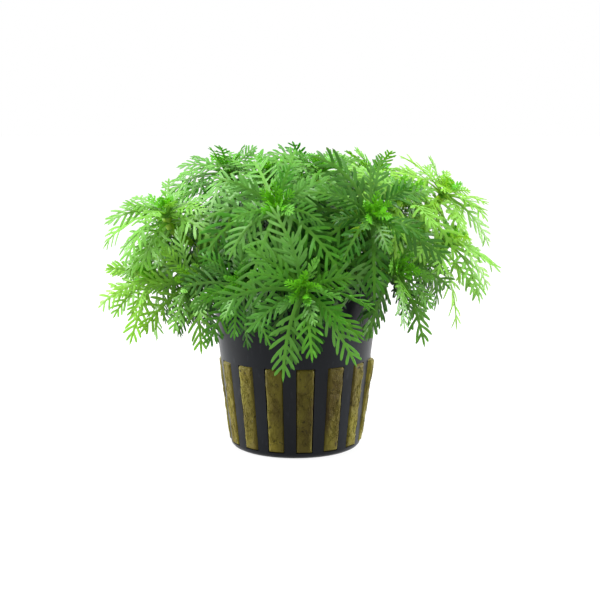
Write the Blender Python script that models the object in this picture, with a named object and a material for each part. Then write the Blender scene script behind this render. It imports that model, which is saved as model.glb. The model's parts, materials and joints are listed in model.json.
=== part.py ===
"""A potted water violet: a slotted net pot, its rockwool plug, and a dome of comb-leaved shoots.

Lengths are in millimetres and angles in degrees up to the point where a mesh is made. The front of the
plant faces -Y, and the origin is the middle of the pot's base.
"""
import math
import random
from collections import namedtuple
from itertools import product

import bmesh
import bpy
from mathutils import Quaternion, Vector
from mathutils.bvhtree import BVHTree

METRES_PER_MM = 0.001
UP = Vector((0, 0, 1))
GAP = 0.3

# Pot
POT_HEIGHT = 50.0
POT_BASE_RADIUS = 19.05
POT_TOP_RADIUS = 25.0
WALL = 0.9
FLOOR = 1.2
RIBS = 15
RIB_SPREAD = 10.0
RIB_TURN = -94.4
SLIT_FOOT = 1.9
SLIT_HEAD = 26.8
BASE_CHAMFER = 2.4
BASE_ROUNDING = 0.35
INNER_CHAMFER = 2.4
LIP_HEIGHT = 2.4
LIP_REACH = 0.8
DRAIN_INNER = 5.0
DRAIN_OUTER = 12.5
DRAINS = 5

# Rockwool plug
WOOL_TOP = 46.0
WOOL_BULGE = 0.35
WOOL_RIGHT_BULGE = 1.2
WOOL_RIGHT_TURN = -9.0
WOOL_RIGHT_SHARPNESS = 24
WOOL_SLIT_MARGIN = 1.2
WOOL_SHOULDER = (0.8, 1.5)

# Stems and crowns
STEM_RADIUS = 1.15
STEM_SIDES = 5
STEM_LENGTHS = 3
STEM_RISE = 1.0
STEM_RISE_PER_DEGREE = 0.016
STEM_FINISH = 0.9
CROWN_RADIUS = 1.7
CROWN_HALF_HEIGHT = 0.9
CROWN_SIDES = 5
CROWN_GUARD = 1.2

# Leaves
LEAF_STEPS = 24
PETIOLE_STEPS = 5
LOBED_STEPS = 16
PETIOLE_HALF_WIDTH = 0.6
BLADE_HALF_WIDTH = 1.45
BLADE_TIP_HALF_WIDTH = 0.8
BLADE_THICKNESS = 0.8
LOBE_REACH = 0.245
LOBE_PEAK = 0.42
LOBE_FADE = 0.75
LOBE_SAG = 0.06
LOBE_ANGLE_BASE = 55.0
LOBE_ANGLE_TIP = 29.0
LOWER_STALK_BASE = 0.8
POT_CLEARANCE = 2.4
POT_PUSH = 0.3

# root: turn about the pot's axis and distance from it; crown: place of the rosette's middle;
# lean: which way and how far the shoot's tip leans from upright; leaf: length of the lower leaves;
# spin: turn of the first leaf; lower leaves: (height up the stem, turn about it, length)
Shoot = namedtuple("Shoot", "root crown lean leaf spin lower_leaves")
SHOOTS = [
    Shoot((-100, 12), (-5, -25, 72), (-95, 46), 26, 4, [(0.60, -70, 24), (0.45, -110, 22)]),
    Shoot((-84, 18), (2, -36, 51), (-88, 72), 24, 64, [(0.75, -60, 24)]),
    Shoot((-122, 18), (-15, -29, 51), (-112, 68), 18, 60, [(0.60, -140, 20)]),
    Shoot((-150, 17), (-29, -17, 51), (-104, 62), 20, 40, [(0.80, -135, 24)]),
    Shoot((-172, 18), (-41, -8, 51), (-120, 50), 20, 22, [(0.80, -170, 20), (0.60, -140, 22)]),
    Shoot((176, 11), (-37, -7, 69.5), (-140, 6), 23, 40, [(0.85, 180, 22)]),
    Shoot((150, 8), (-20, 6, 80.5), (-170, 4), 23, 22, [(0.70, 180, 24)]),
    Shoot((-150, 4), (-8, -1, 79.5), (-120, 8), 23, 0, [(0.70, -120, 24)]),
    Shoot((-10, 4), (7, 5, 81), (-60, 4), 22, 0, [(0.75, -90, 24)]),
    Shoot((46, 12), (24, 18, 78.5), (42, 16), 22, 0, [(0.60, 60, 24)]),
    Shoot((-28, 10), (30, -9, 74), (-45, 26), 24, 36, [(0.70, -60, 24)]),
    Shoot((12, 15), (44, 6, 74.5), (-5, 32), 21, 20, [(0.85, -15, 20)]),
    Shoot((-60, 11), (21, -25, 70), (-72, 50), 24, 6, [(0.55, -80, 24)]),
    Shoot((-10, 19), (44, -4, 61), (-15, 30), 22, 54, [(0.90, 0, 25), (0.75, -45, 23)]),
    Shoot((-42, 18), (28, -22, 55), (-56, 66), 22, 36, [(0.70, -50, 24)]),
    Shoot((148, 16), (-36, 22, 63), (146, 50), 23, 0, [(0.60, 140, 24)]),
    Shoot((112, 17), (-14, 37, 60), (110, 58), 24, 14, [(0.65, 100, 24)]),
    Shoot((62, 17), (19, 36, 58), (66, 60), 24, 30, [(0.65, 60, 24)]),
    Shoot((90, 9), (1, 21, 76), (90, 24), 24, 18, [(0.70, 90, 24)]),
]
LOWER_PITCH = 8.0
UPPER_PITCH = 24.0
UPPER_LENGTH = 0.78
LOWER_LOBE_PAIRS = 4
UPPER_LOBE_PAIRS = 3
UPPER_LEAVES = 3
DROOP = (1.3, 3.0)
SIDE_BEND = 0.7
ARCH = 0.8
ROLL = 18.0
FRONT_ROLL = 34.0
ROLL_SEED = 4

# Changes tried on a leaf until it crosses nothing, and how much of each counts as one step away
TURNS, TURN_STEP = (0, -7, 7, -14, 14), 7
LIFTS, LIFT_STEP = (0, 9, -9, 18, -18, 28), 9
ROLLS, ROLL_STEP = (0, 14, -14, 28, -28), 20
SIZES, SIZE_STEP = (1.0, 0.9, 0.8), 0.08

SMOOTH_UNDER = 35.0


class Solid:
    """The points and faces of one closed body."""

    def __init__(self):
        self.points = []
        self.faces = []

    def add(self, points):
        """Keep some points and return their numbers."""
        first = len(self.points)
        self.points.extend(Vector(point) for point in points)
        return list(range(first, len(self.points)))

    def quad(self, a, b, c, d):
        self.faces.extend([(a, b, c), (a, c, d)])


def polar(radius, turn, height):
    """A point at a radius, a turn in degrees about the pot's axis, and a height."""
    angle = math.radians(turn)
    return Vector((radius * math.cos(angle), radius * math.sin(angle), height))


def wall_radius(height):
    """Outer radius of the pot's wall at a height."""
    return POT_BASE_RADIUS + (POT_TOP_RADIUS - POT_BASE_RADIUS) * height / POT_HEIGHT


def rib_turns():
    """The two edges of every rib, in order round the pot."""
    step = 360.0 / RIBS
    for rib in range(RIBS):
        middle = RIB_TURN + rib * step
        yield middle - RIB_SPREAD / 2
        yield middle + RIB_SPREAD / 2


def make_pot():
    """The pot as one thick sheet: key rows run from the middle of the base to the top of the rim."""
    turns = list(rib_turns())
    columns = len(turns)
    lip_foot = POT_HEIGHT - LIP_HEIGHT
    outer_keys = [(DRAIN_INNER, 0), (DRAIN_OUTER, 0), (POT_BASE_RADIUS - BASE_CHAMFER, 0),
                  (wall_radius(SLIT_FOOT), SLIT_FOOT), (wall_radius(SLIT_HEAD), SLIT_HEAD),
                  (wall_radius(lip_foot) + LIP_REACH, POT_HEIGHT)]
    inner_keys = [(DRAIN_INNER, FLOOR), (DRAIN_OUTER, FLOOR), (POT_BASE_RADIUS - INNER_CHAMFER, FLOOR),
                  (wall_radius(SLIT_FOOT) - WALL, SLIT_FOOT), (wall_radius(SLIT_HEAD) - WALL, SLIT_HEAD),
                  (wall_radius(POT_HEIGHT) - WALL, POT_HEIGHT)]
    corner = BASE_ROUNDING * BASE_CHAMFER
    rounded_foot = [(POT_BASE_RADIUS - corner, corner)]
    outer_between = {2: rounded_foot, 4: [(wall_radius(lip_foot), lip_foot)]}

    pot = Solid()
    outer = [pot.add(polar(r, turn, z) for turn in turns) for r, z in outer_keys]
    inner = [pot.add(polar(r, turn, z) for turn in turns) for r, z in inner_keys]
    rows = len(outer_keys)

    def is_open(row, column):
        """Whether a cell is a slit in the wall or a drain in the base."""
        in_slit = row == 3 and column % 2 == 1
        place = (column + 1) % (columns // DRAINS)
        return in_slit or (row == 0 and place < 3)

    for row in range(rows - 1):
        between = [pot.add(polar(r, turn, z) for turn in turns) for r, z in outer_between.get(row, [])]
        outside = [outer[row]] + between + [outer[row + 1]]
        for column in range(columns):
            after = (column + 1) % columns
            if is_open(row, column):
                continue
            for low, high in zip(outside, outside[1:]):
                pot.quad(low[column], low[after], high[after], high[column])
            low_out, high_out, low_in, high_in = outer[row], outer[row + 1], inner[row], inner[row + 1]
            pot.quad(low_in[column], high_in[column], high_in[after], low_in[after])
            if is_open(row, after):
                pot.quad(low_out[after], low_in[after], high_in[after], high_out[after])
            if is_open(row, (column - 1) % columns):
                pot.quad(low_out[column], high_out[column], high_in[column], low_in[column])
            if row > 0 and is_open(row - 1, column):
                pot.quad(low_out[column], low_in[column], low_in[after], low_out[after])
            if row == rows - 2 or is_open(row + 1, column):
                pot.quad(high_out[column], high_out[after], high_in[after], high_in[column])
    for column in range(columns):
        after = (column + 1) % columns
        if is_open(0, column):
            pot.quad(outer[0][column], outer[0][after], inner[0][after], inner[0][column])
    pot.faces.append(tuple(reversed(outer[0])))
    pot.faces.append(tuple(inner[0]))
    return pot


def make_wool():
    """The plug: inside the wall behind the ribs, and bulging into the slits between them."""
    turns, in_slit = [], []
    slit_spread = 360.0 / RIBS - RIB_SPREAD
    for rib in range(RIBS):
        middle = RIB_TURN + (rib + 0.5) * 360.0 / RIBS
        behind, out = (slit_spread / 2 - step for step in WOOL_SHOULDER)
        turns.extend([middle - behind, middle - out, middle + out, middle + behind])
        in_slit.extend([False, True, True, False])

    def bulge(turn):
        """How far the wool stands out of a slit: furthest at the right, which squeezes out."""
        at_right = max(0.0, math.cos(math.radians(turn - WOOL_RIGHT_TURN))) ** WOOL_RIGHT_SHARPNESS
        return WOOL_BULGE + (WOOL_RIGHT_BULGE - WOOL_BULGE) * at_right

    def behind_wall(z):
        return wall_radius(z) - WALL - GAP

    def bulging_ring(z):
        return [polar(wall_radius(z) + bulge(turn) if out else behind_wall(z), turn, z)
                for turn, out in zip(turns, in_slit)]

    wool = Solid()
    foot = FLOOR + GAP
    coarse_turns = turns[::4]
    bottom = wool.add(polar(behind_wall(foot) - WOOL_SLIT_MARGIN, turn, foot) for turn in coarse_turns)
    low = wool.add(bulging_ring(SLIT_FOOT + WOOL_SLIT_MARGIN))
    high = wool.add(bulging_ring(SLIT_HEAD - WOOL_SLIT_MARGIN))
    neck = wool.add(polar(behind_wall(SLIT_HEAD - GAP), turn, SLIT_HEAD - GAP) for turn in turns)
    top = wool.add(polar(behind_wall(WOOL_TOP), turn, WOOL_TOP) for turn in coarse_turns)
    for under, over in ((low, high), (high, neck)):
        for column in range(len(turns)):
            after = (column + 1) % len(turns)
            wool.quad(under[column], under[after], over[after], over[column])
    for number in range(RIBS):
        following = (number + 1) % RIBS
        for fine, coarse, flip in ((low, bottom, True), (neck, top, False)):
            corners = [fine[(4 * number + i) % len(turns)] for i in range(5)]
            faces = [(corners[i], corners[i + 1], coarse[number]) for i in range(4)]
            faces.append((corners[4], coarse[following], coarse[number]))
            wool.faces.extend(tuple(reversed(face)) if flip else face for face in faces)
    wool.faces.append(tuple(reversed(bottom)))
    wool.faces.append(tuple(top))
    return wool


def shoot_axis(shoot):
    """Direction of a shoot's tip."""
    turn, lean = shoot.lean
    return polar(math.sin(math.radians(lean)), turn, math.cos(math.radians(lean)))


def across(axis):
    """Two directions at right angles to an axis and to each other, the first one level."""
    first = UP.cross(axis).normalized() if UP.cross(axis).length > 0.01 else Vector((1, 0, 0))
    return first, axis.cross(first)


def stem_root(shoot):
    """Where a stem leaves the wool."""
    return polar(shoot.root[1], shoot.root[0], WOOL_TOP + GAP)


def stem_curve(shoot):
    """Points up the stem, from upright in the wool to the underside of the crown."""
    axis = shoot_axis(shoot)
    start = stem_root(shoot)
    end = Vector(shoot.crown) - axis * (CROWN_HALF_HEIGHT + GAP)
    reach = (end - start).length
    rise = UP * reach * (STEM_RISE + STEM_RISE_PER_DEGREE * shoot.lean[1])
    finish = axis * reach * STEM_FINISH
    points = []
    for i in range(STEM_LENGTHS + 1):
        t = i / STEM_LENGTHS
        points.append(start * (2 * t**3 - 3 * t**2 + 1) + rise * (t**3 - 2 * t**2 + t)
                      + end * (3 * t**2 - 2 * t**3) + finish * (t**3 - t**2))
    return points


def make_stem(shoot):
    """A round soft stem, whose rings turn with it as little as they can."""
    points = stem_curve(shoot)
    between = [(above - below).normalized() for below, above in zip(points, points[2:])]
    ways = [UP] + between + [shoot_axis(shoot)]
    stem = Solid()
    rings = []
    first, last_way = Vector((1, 0, 0)), UP
    for point, way in zip(points, ways):
        first.rotate(last_way.rotation_difference(way))
        last_way = way
        second = way.cross(first)
        ring = []
        for side in range(STEM_SIDES):
            angle = 2 * math.pi * side / STEM_SIDES
            ring.append(point + (first * math.cos(angle) + second * math.sin(angle)) * STEM_RADIUS)
        rings.append(stem.add(ring))
    for low, high in zip(rings, rings[1:]):
        for side in range(STEM_SIDES):
            after = (side + 1) % STEM_SIDES
            stem.quad(low[side], low[after], high[after], high[side])
    stem.faces.append(tuple(reversed(rings[0])))
    stem.faces.append(tuple(rings[-1]))
    return stem


# start, along and side place the leaf; ridge puts its midrib above the blade instead of below
Leaf = namedtuple("Leaf", "start along side length ridge pairs droop bend")


def leaf_walk(leaf):
    """Frames out along a leaf as it arches and droops: (point, along, side, up) at each step."""
    step = leaf.length / LEAF_STEPS
    point, along, side = leaf.start.copy(), leaf.along.copy(), leaf.side.copy()
    frames = [(point.copy(), along.copy(), side.copy(), along.cross(side))]
    for _ in range(LEAF_STEPS):
        level = UP.cross(along)
        droop = Quaternion(level.normalized(), math.radians(leaf.droop * step) * level.length)
        bend = Quaternion(along.cross(side), math.radians(leaf.bend * step))
        for way in (along, side):
            way.rotate(droop)
            way.rotate(bend)
        along.rotate(Quaternion(side, math.radians(ARCH * step)))
        radius = math.hypot(point.x, point.y)
        if point.z < POT_HEIGHT + 2 and radius < wall_radius(point.z) + POT_CLEARANCE:
            along += Vector((point.x, point.y, 0)) / radius * POT_PUSH
            along.normalize()
            side = (side - along * side.dot(along)).normalized()
        point += along * step
        frames.append((point.copy(), along.copy(), side.copy(), along.cross(side)))
    return frames


def lobe_tip(frames, length, place, hand, swell):
    """Tip of the lobe that leaves the midrib at a place along the lobed part, 0 to 1, on one hand."""
    point, along, side, up = frames[int(round(PETIOLE_STEPS + place * LOBED_STEPS))]
    angle = math.radians(LOBE_ANGLE_BASE + (LOBE_ANGLE_TIP - LOBE_ANGLE_BASE) * place)
    reach = length * LOBE_REACH * (1 - ((place - LOBE_PEAK) / LOBE_FADE) ** 2) + swell
    forward, outward = reach * math.cos(angle), hand * reach * math.sin(angle)
    return point + along * forward + side * outward - up * LOBE_SAG * reach


def blade_ring(frame, width, ridge, swell):
    """Three points round a leaf, anticlockwise as seen from its tip."""
    point, _, side, up = frame
    if ridge:
        return [point - side * width - up * swell, point + side * width - up * swell,
                point + up * (BLADE_THICKNESS + swell)]
    return [point - side * width + up * swell, point - up * (BLADE_THICKNESS + swell),
            point + side * width + up * swell]


def grow_leaf(solid, leaf, base=None, swell=0.0, first_step=2):
    """Add a comb leaf to a solid, from a base ring or, with none, open from its first step."""
    frames = leaf_walk(leaf)
    rings = [base] if base else [solid.add(blade_ring(frames[first_step], PETIOLE_HALF_WIDTH + swell,
                                                      leaf.ridge, swell))]
    for number in range(leaf.pairs + 1):
        place = number / leaf.pairs
        width = BLADE_HALF_WIDTH + (BLADE_TIP_HALF_WIDTH - BLADE_HALF_WIDTH) * place
        if number == 0:
            width = PETIOLE_HALF_WIDTH
        frame = frames[int(round(PETIOLE_STEPS + LOBED_STEPS * place))]
        rings.append(solid.add(blade_ring(frame, width + swell, leaf.ridge, swell)))
    flat = (0, 1) if leaf.ridge else (2, 0)
    hands = {(1, 2): 1, (2, 0): -1} if leaf.ridge else {(0, 1): -1, (1, 2): 1}
    for number, (low, high) in enumerate(zip(rings, rings[1:])):
        for a, b in ((0, 1), (1, 2), (2, 0)):
            if (a, b) == flat or number == 0:
                solid.quad(low[a], low[b], high[b], high[a])
                continue
            place = (number - 0.5) / leaf.pairs
            tip = solid.add([lobe_tip(frames, leaf.length, place, hands[(a, b)], swell)])[0]
            corners = (low[a], low[b], high[b], high[a])
            for corner, following in zip(corners, corners[1:] + corners[:1]):
                solid.faces.append((corner, following, tip))
    end = solid.add([frames[-1][0] + frames[-1][1] * swell])[0]
    last = rings[-1]
    solid.faces.extend([(last[0], last[1], end), (last[1], last[2], end), (last[2], last[0], end)])


class Crowd:
    """Everything placed so far, with the question whether a new leaf would cross it."""

    def __init__(self):
        self.points = []
        self.faces = []
        self.tree = None
        self.crowns = {}

    def add(self, solid):
        first = len(self.points)
        self.points.extend(solid.points)
        self.faces.extend(tuple(first + i for i in face) for face in solid.faces)
        self.tree = BVHTree.FromPolygons(self.points, self.faces)

    def crosses(self, solid, own_crown=None):
        tree = BVHTree.FromPolygons(solid.points, solid.faces)
        if tree.overlap(self.tree):
            return True
        return any(tree.overlap(crown) for name, crown in self.crowns.items() if name != own_crown)


def nudges():
    """Changes of turn, lift, roll and size to try, the smallest first."""
    def steps_away(nudge):
        turn, lift, roll, size = nudge
        return abs(turn) / TURN_STEP + abs(lift) / LIFT_STEP + abs(roll) / ROLL_STEP + (1 - size) / SIZE_STEP

    return sorted(product(TURNS, LIFTS, ROLLS, SIZES), key=steps_away)


NUDGES = nudges()


def aimed_leaf(start, out, axis, pitch, roll, length, ridge, pairs, habit):
    """A leaf that leaves an axis outwards, pitched up along it and rolled about its own midrib."""
    rise = math.radians(pitch)
    along = out * math.cos(rise) + axis * math.sin(rise)
    side = axis.cross(out)
    side.rotate(Quaternion(along, math.radians(roll + FRONT_ROLL * out.x)))
    return Leaf(start, along, side, length, ridge, pairs, *habit)


def leaf_habit(rolls):
    """How much a leaf droops and bends sideways, in degrees a millimetre."""
    return rolls.uniform(*DROOP), rolls.uniform(-SIDE_BEND, SIDE_BEND)


def clear_leaf(aim, crowd, own_crown=None, first_step=2):
    """The leaf nearest to the one wished for that crosses nothing, or None; aim makes one from a nudge."""
    for nudge in NUDGES:
        leaf = aim(*nudge)
        trial = Solid()
        grow_leaf(trial, leaf, None, GAP, first_step)
        if not crowd.crosses(trial, own_crown):
            return leaf
    return None


def crown_ring(shoot, radius, height, offset):
    """Points round a shoot's tip."""
    axis = shoot_axis(shoot)
    first, second = across(axis)
    points = []
    for side in range(CROWN_SIDES):
        angle = math.radians(shoot.spin + offset + 360.0 * side / CROWN_SIDES)
        points.append(Vector(shoot.crown) + axis * height
                      + (first * math.cos(angle) + second * math.sin(angle)) * radius)
    return points


def make_crown(shoot, swell=0.0):
    """The shoot's tip, a five-sided drum of triangles, and the leaf bases on its side: (solid, bases)."""
    crown = Solid()
    half_step = 180.0 / CROWN_SIDES
    low = crown.add(crown_ring(shoot, CROWN_RADIUS + swell, -CROWN_HALF_HEIGHT - swell / 2, 0))
    high = crown.add(crown_ring(shoot, CROWN_RADIUS + swell, CROWN_HALF_HEIGHT + swell / 2, half_step))
    crown.faces.append(tuple(reversed(low)))
    crown.faces.append(tuple(high))
    bases = []
    for side in range(CROWN_SIDES):
        after = (side + 1) % CROWN_SIDES
        bases.append(("lower", side + 0.5, (low[side], low[after], high[side])))
        bases.append(("upper", side + 1.0, (high[side], low[after], high[after])))
    return crown, sorted(bases)


def crown_guard(shoot):
    """The space round a shoot's tip that belongs to its own leaf stalks."""
    guard, bases = make_crown(shoot, CROWN_GUARD)
    guard.faces.extend(base for _, _, base in bases)
    return BVHTree.FromPolygons(guard.points, guard.faces)


def make_rosette(number, shoot, crowd, rolls):
    """A shoot's crown with its whorl of leaves."""
    rosette, bases = make_crown(shoot)
    axis = shoot_axis(shoot)
    first, second = across(axis)
    upper_leaves = 0
    for tier, side, base in bases:
        lower = tier == "lower"
        turn = shoot.spin + side * 360.0 / CROWN_SIDES
        start = sum((rosette.points[i] for i in base), Vector()) / 3
        pitch = LOWER_PITCH if lower else UPPER_PITCH
        length = shoot.leaf * (1.0 if lower else UPPER_LENGTH)
        own_roll = rolls.uniform(-ROLL, ROLL)
        habit = leaf_habit(rolls)

        def aim(nudge, lift, roll, size):
            angle = math.radians(turn + nudge)
            out = first * math.cos(angle) + second * math.sin(angle)
            pairs = LOWER_LOBE_PAIRS if lower else UPPER_LOBE_PAIRS
            return aimed_leaf(start, out, axis, pitch + lift, own_roll + roll, length * size, lower, pairs, habit)

        leaf = clear_leaf(aim, crowd, number) if lower or upper_leaves < UPPER_LEAVES else None
        if leaf is None:
            rosette.faces.append(base)
            continue
        upper_leaves += not lower
        grow_leaf(rosette, leaf, list(base))
        placed = Solid()
        grow_leaf(placed, leaf)
        crowd.add(placed)
    return rosette


def make_lower_leaf(shoot, height, turn, length, crowd, rolls):
    """A single leaf that stands off the stem below the crown, or None where there is no room."""
    points = stem_curve(shoot)
    place = height * STEM_LENGTHS
    number = min(int(place), STEM_LENGTHS - 1)
    on_stem = points[number].lerp(points[number + 1], place - number)
    stem_way = (points[number + 1] - points[number]).normalized()
    own_roll = rolls.uniform(-ROLL, ROLL)
    habit = leaf_habit(rolls)

    def aim(nudge, lift, roll, size):
        out = polar(1, turn + nudge, 0)
        out = (out - stem_way * out.dot(stem_way)).normalized()
        start = on_stem + out * (STEM_RADIUS + GAP)
        rise = LOWER_PITCH + lift
        return aimed_leaf(start, out, stem_way, rise, own_roll + roll, length * size, True, UPPER_LOBE_PAIRS,
                          habit)

    leaf = clear_leaf(aim, crowd, first_step=0)
    if leaf is None:
        return None
    solid = Solid()
    base = solid.add(blade_ring(leaf_walk(leaf)[0], LOWER_STALK_BASE, True, 0))
    grow_leaf(solid, leaf, base)
    solid.faces.append(tuple(reversed(base)))
    crowd.add(solid)
    return solid


def make_material(name, colour, roughness):
    material = bpy.data.materials.new(name)
    material.use_nodes = True
    shader = material.node_tree.nodes["Principled BSDF"]
    shader.inputs["Base Color"].default_value = (*colour, 1)
    shader.inputs["Roughness"].default_value = roughness
    shader.inputs["Metallic"].default_value = 0.0
    material.diffuse_color = (*colour, 1)
    return material


def make_empty(name, place, parent=None):
    """A bare frame at a place, to which parts are fixed."""
    empty = bpy.data.objects.new(name, None)
    empty.location = place * METRES_PER_MM
    empty.parent = parent
    bpy.context.collection.objects.link(empty)
    return empty


def make_object(name, solid, material, parent, place=Vector(), way=UP):
    """A part on its parent, in metres and triangles, with its own place from there and its own way up."""
    turn = UP.rotation_difference(way)
    from_world = turn.inverted()
    origin = place + parent.location / METRES_PER_MM
    mesh = bpy.data.meshes.new(name)
    points = [from_world @ (point - origin) * METRES_PER_MM for point in solid.points]
    mesh.from_pydata(points, [], solid.faces)
    shape = bmesh.new()
    shape.from_mesh(mesh)
    bmesh.ops.triangulate(shape, faces=shape.faces)
    shape.to_mesh(mesh)
    shape.free()
    mesh.materials.append(material)
    mesh.shade_smooth()
    mesh.set_sharp_from_angle(angle=math.radians(SMOOTH_UNDER))
    thing = bpy.data.objects.new(name, mesh)
    thing.parent = parent
    thing.location = place * METRES_PER_MM
    thing.rotation_mode = "QUATERNION"
    thing.rotation_quaternion = turn
    bpy.context.collection.objects.link(thing)


def pot_guard():
    """A plain cone just outside the pot, which no leaf may cross."""
    guard = Solid()
    turns = list(rib_turns())
    margin = LIP_REACH + GAP
    low = guard.add(polar(POT_BASE_RADIUS + margin, turn, -1) for turn in turns)
    high = guard.add(polar(POT_TOP_RADIUS + margin, turn, POT_HEIGHT + GAP) for turn in turns)
    for column in range(len(turns)):
        after = (column + 1) % len(turns)
        guard.quad(low[column], low[after], high[after], high[column])
    guard.faces.append(tuple(high))
    return guard


def main():
    for thing in list(bpy.data.objects):
        bpy.data.objects.remove(thing)
    plastic = make_material("dark_plastic", (0.020, 0.022, 0.028), 0.45)
    wool = make_material("rockwool", (0.16, 0.13, 0.025), 0.95)
    stem_green = make_material("stem_green", (0.20, 0.42, 0.03), 0.5)
    leaf_green = make_material("leaf_green", (0.07, 0.30, 0.03), 0.55)

    plant = make_empty("potted_plant", Vector())
    make_object("pot", make_pot(), plastic, plant)
    make_object("rockwool_plug", make_wool(), wool, plant)

    crowd = Crowd()
    crowd.add(pot_guard())
    shoots = []
    for number, shoot in enumerate(SHOOTS, 1):
        shoots.append(make_empty(f"shoot_{number:02d}", stem_root(shoot), plant))
        stem = make_stem(shoot)
        make_object(f"stem_{number:02d}", stem, stem_green, shoots[-1])
        crowd.add(stem)
        crowd.crowns[number] = crown_guard(shoot)

    rolls = random.Random(ROLL_SEED)
    for number, (shoot, base) in enumerate(zip(SHOOTS, shoots), 1):
        rosette = make_rosette(number, shoot, crowd, rolls)
        place = Vector(shoot.crown) - base.location / METRES_PER_MM
        make_object(f"rosette_{number:02d}", rosette, leaf_green, base, place, shoot_axis(shoot))

    lower = 0
    for shoot, base in zip(SHOOTS, shoots):
        for height, turn, length in shoot.lower_leaves:
            leaf = make_lower_leaf(shoot, height, turn, length, crowd, rolls)
            if leaf is not None:
                lower += 1
                place = leaf.points[0] - base.location / METRES_PER_MM
                make_object(f"lower_leaf_{lower:02d}", leaf, leaf_green, base, place)


main()
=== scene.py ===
"""The looks of a potted water violet: comb leaves, soft stems, a fibrous plug and a moulded net pot.

Lengths are in millimetres and angles in degrees up to the point where a mesh is made. The front of the
plant faces -Y, and the origin is the middle of the pot's base.
"""
import json
import math
import random
from collections import namedtuple
from itertools import product

import bpy
import numpy as np
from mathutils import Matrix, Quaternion, Vector, noise
from mathutils.bvhtree import BVHTree

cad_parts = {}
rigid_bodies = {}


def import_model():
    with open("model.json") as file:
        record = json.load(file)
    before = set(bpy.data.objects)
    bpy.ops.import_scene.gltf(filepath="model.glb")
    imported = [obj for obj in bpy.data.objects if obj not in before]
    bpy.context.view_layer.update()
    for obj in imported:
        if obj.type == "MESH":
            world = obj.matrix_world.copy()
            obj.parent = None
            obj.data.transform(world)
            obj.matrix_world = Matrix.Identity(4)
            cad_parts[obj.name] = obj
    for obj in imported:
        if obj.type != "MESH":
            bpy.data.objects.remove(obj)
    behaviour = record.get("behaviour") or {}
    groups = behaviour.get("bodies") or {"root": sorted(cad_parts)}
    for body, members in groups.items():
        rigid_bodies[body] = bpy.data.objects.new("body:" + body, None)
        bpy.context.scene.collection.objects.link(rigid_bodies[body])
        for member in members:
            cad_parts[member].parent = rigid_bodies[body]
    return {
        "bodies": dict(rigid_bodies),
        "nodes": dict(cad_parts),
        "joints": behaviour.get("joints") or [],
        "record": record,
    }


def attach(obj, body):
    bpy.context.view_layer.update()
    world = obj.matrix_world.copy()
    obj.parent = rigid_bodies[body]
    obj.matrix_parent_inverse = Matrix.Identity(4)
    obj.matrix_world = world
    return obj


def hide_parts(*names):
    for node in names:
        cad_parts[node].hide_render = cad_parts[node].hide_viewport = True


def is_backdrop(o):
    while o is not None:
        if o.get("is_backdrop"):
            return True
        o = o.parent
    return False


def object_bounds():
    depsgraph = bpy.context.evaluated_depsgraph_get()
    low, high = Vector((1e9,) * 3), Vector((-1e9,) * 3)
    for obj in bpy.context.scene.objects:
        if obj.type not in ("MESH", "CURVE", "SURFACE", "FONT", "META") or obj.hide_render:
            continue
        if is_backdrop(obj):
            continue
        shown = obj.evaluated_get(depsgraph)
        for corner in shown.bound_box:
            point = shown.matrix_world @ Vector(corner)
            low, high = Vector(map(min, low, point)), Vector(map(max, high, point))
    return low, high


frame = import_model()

CAD_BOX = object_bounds()

METRES_PER_MM = 0.001
UP = Vector((0, 0, 1))
GAP = 0.3

# Pot
POT_HEIGHT = 50.0
POT_BASE_RADIUS = 19.05
POT_TOP_RADIUS = 25.0
WALL = 0.9
FLOOR = 1.2
RIBS = 15
RIB_STEP = 360.0 / RIBS
RIB_SPREAD = 10.0
RIB_TURN = -94.4
SLIT_FOOT = 1.9
SLIT_HEAD = 26.8
BASE_CHAMFER = 2.4
INNER_CHAMFER = 2.4
LIP_HEIGHT = 2.4
LIP_REACH = 0.8
DRAIN_INNER = 5.0
DRAIN_OUTER = 12.5
DRAINS = 5

# Rockwool plug
WOOL_TOP = 46.0
WOOL_BULGE = 0.35
WOOL_RIGHT_BULGE = 1.2
WOOL_RIGHT_TURN = -9.0
WOOL_RIGHT_SHARPNESS = 24

# Stems and crowns
STEM_RADIUS = 1.15
STEM_SIDES = 5
STEM_LENGTHS = 3
STEM_RISE = 1.0
STEM_RISE_PER_DEGREE = 0.016
STEM_FINISH = 0.9
CROWN_RADIUS = 1.7
CROWN_HALF_HEIGHT = 0.9
CROWN_SIDES = 5
CROWN_GUARD = 1.2

# Leaves
LEAF_STEPS = 24
PETIOLE_STEPS = 5
LOBED_STEPS = 16
PETIOLE_HALF_WIDTH = 0.6
BLADE_HALF_WIDTH = 1.45
BLADE_TIP_HALF_WIDTH = 0.8
BLADE_THICKNESS = 0.8
LOBE_REACH = 0.245
LOBE_PEAK = 0.42
LOBE_FADE = 0.75
LOBE_SAG = 0.06
LOBE_ANGLE_BASE = 55.0
LOBE_ANGLE_TIP = 29.0
LOWER_STALK_BASE = 0.8
POT_CLEARANCE = 2.4
POT_PUSH = 0.3
RIM_CLEARANCE = 2.0
SIDES = ((0, 1), (1, 2), (2, 0))

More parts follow.
